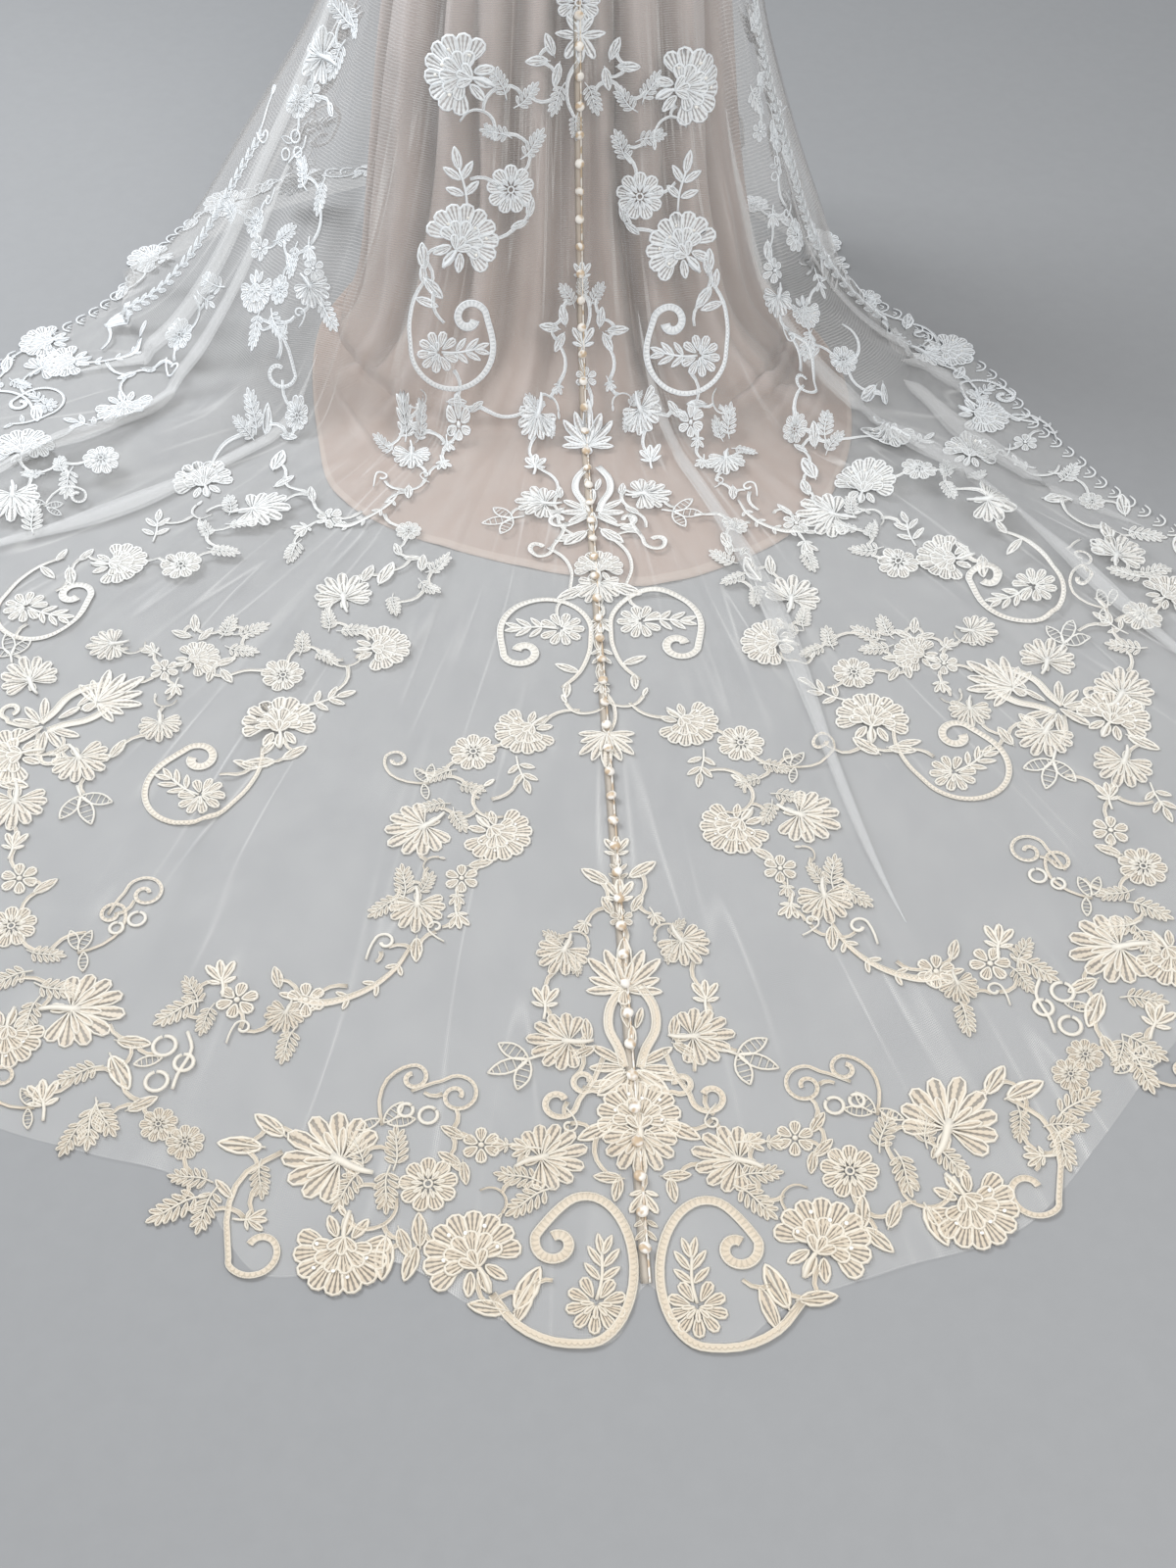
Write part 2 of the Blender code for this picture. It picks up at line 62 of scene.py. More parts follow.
Place = tuple[float, float]
Outline = tuple[Place, ...]
Rows = tuple[tuple, ...]
Colour = tuple[float, float, float]

# ---------------------------------------------------------------- driving sizes, as in the solids
HOLD_HEIGHT = 1.45
WAIST_HEIGHT = 1.08
FLOOR = -HOLD_HEIGHT
NET_WALL = 0.0012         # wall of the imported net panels, which the thinner net here lies in
SLIP_WALL = 0.0015
BODICE_WALL = 0.002
SEAM = 0.0003             # gap between neighbouring panels
WAIST_JOIN = 0.0014       # height of the bodice's lower edge over the skirts' top
LIE = 0.0006              # gap under lace and tape
SLIP_CLEARANCE = 0.005    # air between the slip's hem and the net
COVER_REACH = 0.040       # how far past the slip's hem the net is held up
COVER_FADE = 0.035        # how far out it takes to come down
RIDGE_START = 0.90        # place along the skirt where ridges on the floor begin
RIDGE_RISE = 0.15         # stretch that they rise over
FOLD_FADE = 0.60          # stretch that a fold dies away over
LEAST_RUN = 0.02          # least distance from floor contact to hem
SETTLE = 0.07             # half the stretch that bends onto the floor
HANG, RIDGE = 0, 1        # the two heights of a fold
DIRECTION_STEP = 45.0     # degrees between the radii of a section
SKIN = 0.0002             # smallest gap between faces, and deepest trough on the floor
STRAY, STRAY_WAVE = 1.1, 7.0      # degrees that a crease strays to either side, and how fast along it
CREASE_ENDS = 0.8         # below 1 keeps a crease high near its ends
TOP_FADE = 0.2            # creases fade out this near to the waist
RIPPLE_START, RIPPLE_FADE = 0.2, 0.4
BEND_START, BEND_END = 0.85, 1.15         # stretch of a skirt that bends onto the floor
# Ripples of loose cloth: waves in a radian round, waves along, phase, share
RIPPLES = ((23.0, 5.0, 0.0, 1.0), (41.0, -9.0, 1.3, 0.7), (67.0, 14.0, 2.1, 0.5))

# name, height, back, back_right, right, front_right, front, front_left, left, back_left
NET_SECTIONS = (
    ("waist", 1.08, 0.095, 0.107, 0.125, 0.107, 0.095, 0.107, 0.125, 0.107),
    ("hip", 0.90, 0.137, 0.163, 0.186, 0.155, 0.132, 0.155, 0.188, 0.165),
    ("thigh", 0.70, 0.166, 0.203, 0.228, 0.198, 0.170, 0.215, 0.255, 0.222),
    ("knee", 0.48, 0.195, 0.236, 0.252, 0.255, 0.225, 0.285, 0.328, 0.276),
    ("calf", 0.27, 0.228, 0.290, 0.318, 0.315, 0.290, 0.370, 0.462, 0.350),
    ("ankle", 0.12, 0.276, 0.362, 0.380, 0.350, 0.340, 0.440, 0.568, 0.432),
)
SLIP_SECTIONS = (
    ("waist", 1.08, 0.0926, 0.1046, 0.1226, 0.1046, 0.0926, 0.1046, 0.1226, 0.1046),
    ("hip", 0.90, 0.122, 0.148, 0.170, 0.140, 0.115, 0.140, 0.170, 0.148),
    ("thigh", 0.70, 0.150, 0.182, 0.203, 0.166, 0.136, 0.170, 0.212, 0.186),
    ("knee", 0.48, 0.178, 0.205, 0.215, 0.185, 0.150, 0.198, 0.262, 0.216),
    ("calf", 0.20, 0.206, 0.236, 0.256, 0.218, 0.180, 0.245, 0.312, 0.256),
    ("ankle", 0.06, 0.256, 0.290, 0.284, 0.238, 0.198, 0.276, 0.338, 0.310),
)
# Where each skirt meets the floor, and the hem outlines: azimuth, radius
NET_CONTACT = (
    (-180, 0.385), (-130, 0.52), (-102, 0.655), (-88, 0.68), (-70, 0.63), (-45, 0.49), (-20, 0.385),
    (0, 0.36), (20, 0.395), (45, 0.485), (62, 0.52), (75, 0.49), (88, 0.43), (110, 0.40), (140, 0.385),
)
SLIP_CONTACT = (
    (-180, 0.208), (-130, 0.285), (-90, 0.36), (-45, 0.365), (0, 0.325), (45, 0.345), (90, 0.31),
    (135, 0.255),
)
NET_HEM = (
    (-180, 0.42), (-150, 0.47), (-130, 0.62), (-116, 0.68), (-102, 0.71), (-89, 0.77), (-81, 0.90),
    (-66, 1.13), (-55, 1.31), (-44, 1.445), (-31, 1.57), (-24, 1.595), (-20, 1.59), (-16, 1.595),
    (-12.5, 1.67), (-8.5, 1.64), (-5.5, 1.68), (-2, 1.715), (-1, 1.705), (0, 1.655), (1, 1.705),
    (2.5, 1.72), (4, 1.695), (8, 1.67), (13, 1.655), (17, 1.595), (20, 1.55), (31, 1.46), (43, 1.31),
    (49, 1.18), (53, 1.00), (55, 0.90), (57.5, 0.84), (60.5, 0.77), (66.5, 0.70), (71, 0.645),
    (75.5, 0.57), (80.5, 0.53), (88, 0.46), (110, 0.435), (135, 0.42),
)
SLIP_HEM = (
    (-180, 0.22), (-130, 0.305), (-90, 0.385), (-48, 0.52), (-38, 0.585), (-26, 0.615), (-15, 0.63),
    (-2, 0.66), (6, 0.685), (18, 0.665), (31, 0.625), (39, 0.58), (60, 0.46), (85, 0.34), (120, 0.275),
)
# name, azimuth, width, hang, ridge, start, end
NET_FOLDS = (
    ("left_roll", -92, 14, 0.028, 0.030, 0.15, 1.70),
    ("left_valley", -74, 8, -0.024, 0.000, 0.15, 1.10),
    ("left_double", -60, 7, 0.022, 0.028, 0.45, 1.92),
    ("left_small", -40, 5, 0.010, 0.012, 0.55, 1.75),
    ("left_fine", -21, 4, 0.005, 0.008, 0.70, 1.60),
    ("right_fine", 15, 4, 0.005, 0.011, 0.70, 1.60),
    ("right_valley", 31, 8, -0.014, 0.000, 0.15, 1.05),
    ("right_double", 43, 7, 0.022, 0.026, 0.40, 1.90),
    ("right_roll", 63, 10, 0.024, 0.024, 0.20, 1.75),
    ("right_far", 88, 9, 0.014, 0.008, 0.20, 1.60),
    ("front_right", 122, 13, 0.020, 0.000, 0.20, 1.10),
    ("front_mid_right", 155, 12, 0.018, 0.000, 0.25, 1.10),
    ("front_mid_left", -156, 12, 0.018, 0.000, 0.25, 1.10),
    ("front_left", -124, 13, 0.022, 0.000, 0.20, 1.10),
)
SLIP_FOLDS = (
    ("back_left", -30, 12, 0.010, 0.004, 0.30, 1.60),
    ("back_mid", -8, 9, -0.007, 0.000, 0.20, 1.00),
    ("back_right", 26, 10, -0.012, 0.000, 0.15, 1.05),
    ("puddle_right", 50, 9, 0.006, 0.006, 0.70, 1.80),
    ("puddle_side", 72, 8, 0.006, 0.004, 0.75, 1.70),
    ("left_side", -75, 12, 0.008, 0.004, 0.40, 1.60),
)
# share of the way up, height, half width, half depth at the back, half depth at the front
BODICE_SECTIONS = (
    (0.00, WAIST_HEIGHT + WAIST_JOIN, 0.1245, 0.0945, 0.0945),
    (0.35, 1.18, 0.138, 0.102, 0.108),
    (0.70, 1.27, 0.155, 0.108, 0.125),
    (1.00, 1.34, 0.162, 0.105, 0.112),
)
SHOULDER_RISE = HOLD_HEIGHT - BODICE_WALL - BODICE_SECTIONS[-1][1]
CUP_ANGLE, CUP_SPREAD, CUP_HEIGHT, CUP_RISE, CUP_DEPTH = 32, 17, 0.72, 0.26, 0.022
SHOULDER_END = 1.9985
# degrees from centre back, share of the way up that the top edge reaches
BODICE_TOP = (
    (0, 0.86), (22, 0.90), (34, 1.00), (40, SHOULDER_END), (56, SHOULDER_END), (62, 0.95), (72, 0.68),
    (90, 0.60), (108, 0.68), (118, 0.95), (124, SHOULDER_END), (140, SHOULDER_END), (146, 1.00),
    (162, 0.94), (180, 0.84),
)

# ---------------------------------------------------------------- creases of this finer cloth
# azimuth where it starts, turn by its end, start, end, half width, height (below 0 for a trough)
NET_CREASES = (
    (17.5, -2.5, 0.80, 1.78, 0.010, 0.009), (22.5, 3.0, 0.62, 1.36, 0.012, 0.006),
    (9.0, 1.5, 0.90, 1.45, 0.008, 0.004), (28.5, 5.0, 0.95, 1.62, 0.011, 0.006),
    (57.0, -19.0, 0.55, 1.95, 0.013, 0.012), (50.0, -8.0, 0.90, 1.70, 0.010, 0.007),
    (62.0, -16.0, 1.00, 1.90, 0.012, 0.009), (36.0, 2.0, 1.05, 1.85, 0.009, 0.006),
    (71.0, -12.0, 0.60, 1.80, 0.014, 0.010), (80.0, -9.0, 0.35, 1.60, 0.013, 0.009),
    (5.0, -1.0, 0.55, 1.25, 0.009, -0.004), (13.0, 2.0, 0.40, 1.10, 0.013, -0.006),
    (-77.0, 21.0, 0.60, 1.92, 0.014, 0.013), (-70.0, 12.0, 0.95, 1.80, 0.010, 0.008),
    (-52.0, -3.0, 0.85, 1.75, 0.011, 0.008), (-46.0, 4.0, 1.05, 1.88, 0.009, 0.006),
    (-34.0, -2.5, 0.70, 1.55, 0.010, 0.006), (-29.0, 3.5, 1.10, 1.72, 0.008, 0.005),
    (-16.0, -3.0, 0.92, 1.50, 0.009, 0.005), (-10.5, 2.0, 0.75, 1.30, 0.008, 0.004),
    (-24.0, 1.0, 1.20, 1.90, 0.008, 0.005), (-6.0, -1.5, 0.35, 1.00, 0.012, -0.005),
    (-84.0, 8.0, 0.25, 1.50, 0.013, 0.010), (-98.0, 4.0, 0.20, 1.40, 0.013, 0.009),
    (-106.0, -3.0, 0.35, 1.30, 0.012, -0.007), (-60.0, 5.0, 0.30, 0.95, 0.012, -0.006),
    (-41.0, 1.0, 0.25, 0.85, 0.011, 0.006), (41.0, -2.0, 0.25, 0.85, 0.011, 0.006),
    (92.0, 3.0, 0.25, 1.35, 0.012, 0.008), (99.0, -2.0, 0.40, 1.20, 0.011, -0.006),
    (112.0, 3.0, 0.25, 1.30, 0.013, 0.008), (133.0, -3.0, 0.30, 1.15, 0.012, -0.007),
    (146.0, 2.0, 0.20, 1.25, 0.012, 0.007), (168.0, -2.0, 0.28, 1.30, 0.013, 0.008),
    (179.0, 2.0, 0.35, 1.10, 0.011, -0.006), (-168.0, 2.0, 0.25, 1.25, 0.012, 0.007),
    (-145.0, -2.0, 0.30, 1.20, 0.013, 0.008), (-134.0, 3.0, 0.22, 1.15, 0.012, -0.006),
    (-115.0, 2.0, 0.30, 1.35, 0.013, 0.008),
)
SLIP_CREASES = (
    (11.5, 14.0, 0.12, 1.32, 0.015, -0.040), (17.5, 14.0, 0.20, 1.36, 0.013, 0.012),
    (36.0, 3.0, 0.15, 1.12, 0.016, -0.026), (44.0, 2.0, 0.25, 1.20, 0.013, 0.010),
    (4.0, -1.0, 0.25, 1.02, 0.014, -0.016), (-1.0, 1.0, 0.35, 0.98, 0.012, 0.007),
    (-8.0, -3.0, 0.18, 1.06, 0.014, -0.024), (-15.0, -1.0, 0.30, 1.18, 0.014, 0.011),
    (-24.0, -3.0, 0.12, 1.08, 0.015, -0.028), (-33.0, -2.0, 0.30, 1.42, 0.014, 0.010),
    (-41.0, 1.0, 0.30, 1.12, 0.013, -0.018), (-49.0, 4.0, 0.25, 1.48, 0.013, 0.011),
    (-57.0, -2.0, 0.15, 1.15, 0.015, -0.030), (-66.0, 3.0, 0.35, 1.45, 0.013, 0.010),
    (-81.0, -1.0, 0.15, 1.20, 0.015, -0.026), (62.0, -2.0, 0.15, 1.10, 0.015, -0.026),
    (34.0, 34.0, 1.03, 1.26, 0.046, 0.011), (40.0, 28.0, 1.32, 1.50, 0.044, 0.010),
    (38.0, 30.0, 1.16, 1.34, 0.040, -0.016), (42.0, 24.0, 1.42, 1.58, 0.040, -0.012),
    (36.0, 24.0, 1.56, 1.74, 0.044, 0.007), (-36.0, -22.0, 1.50, 1.66, 0.050, 0.006),
    (44.0, 7.0, 0.85, 1.75, 0.009, 0.010), (52.0, -6.0, 0.80, 1.65, 0.008, 0.009),
    (58.0, 6.0, 0.92, 1.80, 0.009, 0.010), (66.0, -5.0, 0.75, 1.60, 0.009, 0.009),
    (77.0, 3.0, 0.40, 1.30, 0.012, 0.009), (98.0, -2.0, 0.35, 1.20, 0.012, -0.012),
    (118.0, 2.0, 0.30, 1.15, 0.012, 0.009), (141.0, -2.0, 0.28, 1.20, 0.012, -0.012),
    (160.0, 1.0, 0.35, 1.15, 0.012, 0.009), (182.0, 2.0, 0.30, 1.10, 0.012, -0.012),
    (203.0, -2.0, 0.28, 1.15, 0.012, 0.009), (226.0, 2.0, 0.33, 1.20, 0.012, -0.012),
    (248.0, -1.0, 0.30, 1.15, 0.012, 0.009),
)


# ---------------------------------------------------------------- curves through tables
def smooth_curve(xs: Iterable[float], ys: Iterable[float], x: np.ndarray, period: float = 0.0) -> np.ndarray:
    """Values at x of a smooth curve through (xs, ys).

    Args:
        xs: Places of the known values, rising.
        ys: The known values.
        x: Places to read the curve at.
        period: Length of a full turn, or 0 for an open curve.

    Returns:
        The curve's values.
    """
    xs, ys, x = np.asarray(xs, float), np.asarray(ys, float), np.asarray(x, float)
    if period:
        x = (x - xs[0]) % period + xs[0]
        xs = np.concatenate(([xs[-1] - period], xs, [xs[0] + period, xs[1] + period]))
        ys = np.concatenate(([ys[-1]], ys, [ys[0], ys[1]]))
    slopes = np.gradient(ys, xs)
    steps = np.diff(ys) / np.diff(xs)
    flat = np.zeros(len(xs), bool)
    flat[1:-1] = steps[:-1] * steps[1:] <= 0
    slopes[flat] = 0.0
    i = np.clip(np.searchsorted(xs, x, side="right") - 1, 0, len(xs) - 2)
    width = xs[i + 1] - xs[i]
    s = (x - xs[i]) / width
    rise = (1 + 2 * s) * (1 - s) ** 2 * ys[i] + s * s * (3 - 2 * s) * ys[i + 1]
    turn = s * (1 - s) ** 2 * width * slopes[i] - s * s * (1 - s) * width * slopes[i + 1]
    return rise + turn


def ease(x: np.ndarray) -> np.ndarray:
    """Smooth step from 0 to 1 for x from 0 to 1."""
    x = np.clip(x, 0.0, 1.0)
    return x * x * (3 - 2 * x)


def angle_between(a: float | np.ndarray, b: float | np.ndarray) -> float | np.ndarray:
    """Difference of two azimuths, from -180 to 180 degrees."""
    return (a - b + 180.0) % 360.0 - 180.0


def unit(vectors: np.ndarray) -> np.ndarray:
    """The same vectors, each 1 long."""
    return vectors / np.maximum(np.linalg.norm(vectors, axis=-1, keepdims=True), 1e-9)


def distances(line: np.ndarray) -> np.ndarray:
    """How far along a line each of its points is."""
    return np.concatenate(([0.0], np.cumsum(np.linalg.norm(np.diff(line, axis=0), axis=1))))


def outline_radius(outline: Outline, azimuth: float) -> float:
    """Radius of an outline at an azimuth."""
    return float(smooth_curve(*zip(*outline), azimuth, 360.0))


def crease_azimuth(azimuth: float, turn: float, shares: np.ndarray) -> np.ndarray:
    """Azimuth of a crease at shares of its length."""
    return azimuth + turn * shares + STRAY * np.sin(STRAY_WAVE * shares + azimuth)


def fold_sum(folds: Rows, azimuth: float, t: np.ndarray, column: int) -> np.ndarray:
    """Sum of the folds' heights down one azimuth.

    Args:
        folds: The fold table.
        azimuth: Degrees from centre back.
        t: Places along the skirt.
        column: HANG for the hanging cloth, RIDGE for the floor.

    Returns:
        One height for each place.
    """
    t = np.asarray(t, float)
    total = np.zeros_like(t)
    for _, middle, width, *heights, start, end in folds:
        away = abs(angle_between(azimuth, middle)) / width
        if away >= 1.0:
            continue
        span = 1.0 - start if column == HANG else RIDGE_RISE
        share = ease((t - start) / span) * ease((end - t) / FOLD_FADE)
        total += heights[column] * (0.5 + 0.5 * math.cos(math.pi * away)) * share
    return total


def grid_normals(points: np.ndarray) -> np.ndarray:
    """Outward unit normals of a grid of points, indexed by column and row."""
    return unit(np.cross(np.gradient(points, axis=1), np.gradient(points, axis=0)))


# ---------------------------------------------------------------- cloth forms
@dataclass(frozen=True)
class Skirt:
    """A skirt's form: t runs from 0 at the waist to 1 at the floor and 2 at the hem."""

    sections: Rows
    contact: Outline
    hem: Outline
    folds: Rows
    hang_fade: float
    creases: Rows
    ripple: float
    over: "Skirt | None" = None

    def cover(self, azimuth: float, radius: np.ndarray) -> np.ndarray:
        """Height that a skirt over this one keeps, at places on the floor."""
        hem = outline_radius(self.hem, azimuth)
        contact = outline_radius(self.contact, azimuth)
        t = 1.0 + np.maximum(radius - contact, 0.0) / (hem - contact)
        ridge = fold_sum(self.folds, azimuth, np.minimum(t, 2.0), RIDGE)
        return (SLIP_WALL + SLIP_CLEARANCE + ridge) * ease((hem + COVER_REACH - radius) / COVER_FADE)

    def column(self, azimuth: float, t: np.ndarray) -> np.ndarray:
        """Points of the inner face down one azimuth, heights from the floor.

        Args:
            azimuth: Degrees from centre back.
            t: Places along the skirt.

        Returns:
            One point for each place.
        """
        hem = outline_radius(self.hem, azimuth)
        contact = min(outline_radius(self.contact, azimuth), hem - LEAST_RUN)
        directions = np.arange(8) * DIRECTION_STEP
        radii = [float(smooth_curve(directions, row[2:], azimuth, 360.0)) for row in self.sections]
        places = [1.0 - row[1] / WAIST_HEIGHT for row in self.sections] + [1.0]
        hang = smooth_curve(places, radii + [contact], np.minimum(t, 1.0))
        hang = hang + fold_sum(self.folds, azimuth, t, HANG)
        foot = fold_sum(self.folds, azimuth, np.ones(1), HANG)[0]
        run = contact + (hem - contact) * (t - 1.0) + foot * np.maximum(1.0 - (t - 1.0) * self.hang_fade, 0.0)
        radius = np.where(t <= 1.0, hang, run)
        bend = WAIST_HEIGHT * (1.0 + SETTLE - t) ** 2 / (4.0 * SETTLE)
        height = np.where(t <= 1.0 - SETTLE, WAIST_HEIGHT * (1.0 - t), np.where(t >= 1.0 + SETTLE, 0.0, bend))
        height = height + fold_sum(self.folds, azimuth, t, RIDGE) * ease((t - RIDGE_START) / RIDGE_RISE)
        if self.over:
            height = np.maximum(height, self.over.cover(azimuth, radius))
        turn = math.radians(azimuth)
        return np.stack((radius * math.sin(turn), -radius * math.cos(turn), height), axis=1)

    def crease_heights(self, azimuths: np.ndarray, t: np.ndarray, radius: np.ndarray) -> np.ndarray:
        """Heights of the creases alone, below 0 in the troughs.

        Args:
            azimuths: Azimuth of each column.
            t: Place of each row.
            radius: Radius of each point, by column and row.

        Returns:
            A height for each point, by column and row.
        """
        total = np.zeros_like(radius)
        for azimuth, turn, start, end, width, height in self.creases:
            s = (t - start) / (end - start)
            inside = (s > 0.0) & (s < 1.0)
            away = angle_between(azimuths[:, None], crease_azimuth(azimuth, turn, s)[None, :])
            lateral = np.radians(away) * radius / width
            along = np.where(inside, np.sin(math.pi * np.clip(s, 0.0, 1.0)) ** CREASE_ENDS, 0.0)
            total += height * np.exp(-lateral * lateral) * along[None, :]
        return total

    def creasing(self, azimuths: np.ndarray, t: np.ndarray, radius: np.ndarray) -> np.ndarray:
        """How far the creases and ripples stand out from the form, with no trough below the floor.

        Args:
            azimuths: Azimuth of each column.
            t: Place of each row.
            radius: Radius of each point, by column and row.

        Returns:
            A height for each point, by column and row.
        """
        total = self.crease_heights(azimuths, t, radius)
        turns = np.radians(azimuths)[:, None]
        waves = sum(share * np.sin(around * turns + along * t + phase)
                    for around, along, phase, share in RIPPLES)
        total += self.ripple * waves * ease((t - RIPPLE_START) / RIPPLE_FADE)
        return np.where(t[None, :] > 1.0, np.maximum(total, -SKIN), total) * ease(t / TOP_FADE)[None, :]

    def grid(self, azimuths: np.ndarray, t: np.ndarray, lift: float) -> np.ndarray:
        """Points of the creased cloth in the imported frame.

        Args:
            azimuths: Azimuth of each column.
            t: Place of each row.
            lift: Distance out from the solid's inner face.

        Returns:
            Points by column and row.
        """
        points = np.stack([self.column(float(azimuth), t) for azimuth in azimuths])
        radius = np.hypot(points[:, :, 0], points[:, :, 1])
        out = self.creasing(azimuths, t, radius) + lift
        points = points + grid_normals(points) * out[:, :, None]
        points[:, :, 2] = np.maximum(points[:, :, 2], SKIN) + FLOOR
        return points

    def patch(self, azimuth: float, t: float, reach: tuple[float, float], lift: float) -> np.ndarray:
        """Three columns of three points about a place.

        Args:
            azimuth: Degrees from centre back.
            t: Place along the skirt.
            reach: Degrees, and share of the skirt, to the points around it.
            lift: Distance out from the solid's inner face.

        Returns:
            Points by column and row.
        """
        steps = np.array([-1.0, 0.0, 1.0])
        return self.grid(azimuth + reach[0] * steps, t + reach[1] * steps, lift)


SLIP = Skirt(SLIP_SECTIONS, SLIP_CONTACT, SLIP_HEM, SLIP_FOLDS, 1.0, SLIP_CREASES, 0.0010)
NET = Skirt(NET_SECTIONS, NET_CONTACT, NET_HEM, NET_FOLDS, 3.0, NET_CREASES, 0.0009, over=SLIP)


def bodice_grid(angles: np.ndarray, rows: int, lift: float) -> np.ndarray:
    """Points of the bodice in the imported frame, each column from its top edge down to the waist.

    Args:
        angles: Angle of each column from centre back.
        rows: Steps down each column.
        lift: Distance out from the solid's inner face.

    Returns:
        Points by column and row.
    """
    shares, *measures = zip(*BODICE_SECTIONS)
    sides = np.abs(angle_between(angles, 0.0))
    u = np.interp(sides, *zip(*BODICE_TOP))[:, None] * np.linspace(1.0, 0.0, rows + 1)[None, :]
    height, width, back, front = (smooth_curve(shares, each, np.minimum(u, 1.0)) for each in measures)
    depth = np.where(sides[:, None] <= 90.0, back, front)
    over = np.radians(90.0 * np.maximum(u - 1.0, 0.0))
    height = height + SHOULDER_RISE * np.sin(over)
    depth = depth * np.cos(over)
    for side in (-1, 1):
        away = angle_between(angles, 180.0 + side * CUP_ANGLE)[:, None] / CUP_SPREAD
        rise = (u - CUP_HEIGHT) / CUP_RISE
        depth = depth + CUP_DEPTH * np.exp(-away * away - rise * rise)
    turn = np.radians(angles)[:, None]
    points = np.stack((width * np.sin(turn), -depth * np.cos(turn), height + FLOOR), axis=2)
    return points + grid_normals(points) * lift


# ---------------------------------------------------------------- finishes
class Paint:
    """Adds and links the shader nodes of one material."""

    def __init__(self, name: str) -> None:
        """Start a material with its Principled shader."""
        self.material = bpy.data.materials.new(name)
        self.material.use_nodes = True
        self.nodes = self.material.node_tree.nodes
        self.links = self.material.node_tree.links
        self.shader = self.nodes["Principled BSDF"]

    def feed(self, socket: bpy.types.NodeSocket, value: object) -> None:
        """Link a socket to another one, or set its own value."""
        if isinstance(value, bpy.types.NodeSocket):
            self.links.new(value, socket)
        else:
            socket.default_value = value

    def set(self, **inputs: object) -> None:
        """Set the shader's inputs; an underscore in a name stands for a space."""
        for name, value in inputs.items():
            self.feed(self.shader.inputs[name.replace("_", " ")], value)

    def math(self, operation: str, *values: object) -> bpy.types.NodeSocket:
        """A Math node.

        Args:
            operation: The node's operation.
            *values: Its inputs, sockets or numbers.

        Returns:
            The node's output.
        """
        node = self.nodes.new("ShaderNodeMath")
        node.operation = operation
        for socket, value in zip(node.inputs, values):
            self.feed(socket, value)
        return node.outputs[0]

    def span(self, value: object, low: float, high: float, start: float = 0.0, end: float = 1.0,
             ) -> bpy.types.NodeSocket:
        """Map a value from low..high to start..end, clamped.

        Args:
            value: The value to map.
            low: Value that gives start.
            high: Value that gives end.
            start: Result at low.
            end: Result at high.

        Returns:
            The mapped value.
        """
        node = self.nodes.new("ShaderNodeMapRange")
        for socket, each in zip(node.inputs, (value, low, high, start, end)):
            self.feed(socket, each)
        return node.outputs[0]

    def mix(self, share: object, first: object, second: object) -> bpy.types.NodeSocket:
        """Blend two colours.

        Args:
            share: Share of the second colour.
            first: Colour at 0.
            second: Colour at 1.

        Returns:
            The blended colour.
        """
        node = self.nodes.new("ShaderNodeMix")
        node.data_type = "RGBA"
        self.feed(node.inputs["Factor"], share)
        for socket, colour in ((node.inputs[6], first), (node.inputs[7], second)):
            self.feed(socket, colour if isinstance(colour, bpy.types.NodeSocket) else (*colour, 1.0))
        return node.outputs[2]

    def place(self, layer: str = "") -> tuple[bpy.types.NodeSocket, list[bpy.types.NodeSocket]]:
        """Coordinates to paint by.

        Args:
            layer: A UV map's name, or nothing for Object coordinates.

        Returns:
            The vector, and its three parts.
        """
        if layer:
            source = self.nodes.new("ShaderNodeUVMap")
            source.uv_map = layer
            vector = source.outputs[0]
        else:
            vector = self.nodes.new("ShaderNodeTexCoord").outputs["Object"]
        parts = self.nodes.new("ShaderNodeSeparateXYZ")
        self.links.new(vector, parts.inputs[0])
        return vector, list(parts.outputs)

    def attribute(self, name: str) -> bpy.types.NodeSocket:
        """A number that the piece's own mesh carries."""
        node = self.nodes.new("ShaderNodeAttribute")
        node.attribute_name = name
        return node.outputs["Fac"]

    def noise(self, vector: bpy.types.NodeSocket, cell: float, detail: float = 2.0) -> bpy.types.NodeSocket:
        """Soft noise with cells of a size in metres."""
        node = self.nodes.new("ShaderNodeTexNoise")
        self.feed(node.inputs["Vector"], vector)
        node.inputs["Scale"].default_value = 1.0 / cell
        node.inputs["Detail"].default_value = detail
        return node.outputs["Fac"]

    def threads(self, value: object, pitch: float) -> bpy.types.NodeSocket:
        """A ripple from 0 to 1 along a value, one wave for each pitch."""
        wave = self.math("SINE", self.math("MULTIPLY", value, math.tau / pitch))
        return self.math("MULTIPLY_ADD", wave, 0.5, 0.5)

    def bump(self, height: object, distance: float, strength: float = 1.0) -> None:
        """Raise the surface by a height pattern, distance in metres."""
        node = self.nodes.new("ShaderNodeBump")
        node.inputs["Strength"].default_value = strength
        node.inputs["Distance"].default_value = distance
        self.feed(node.inputs["Height"], height)
        self.links.new(node.outputs[0], self.shader.inputs["Normal"])


CLOTH_UV = "cloth"        # metres across and down a cloth piece
STITCH_UV = "stitch"      # metres across and along a petal or cord
SHADE_DIP = "dip"               # 1 in the deepest trough of a cloth, -1 on its sharpest fold; the satin paints shade in the troughs and a highlight on the folds by it
DEEPEST = 0.022           # depth of a trough that counts as 1


def scaled(colour: Colour, share: float) -> Colour:
    """A colour made darker, or lighter where share is over 1."""
    return tuple(share * part for part in colour)


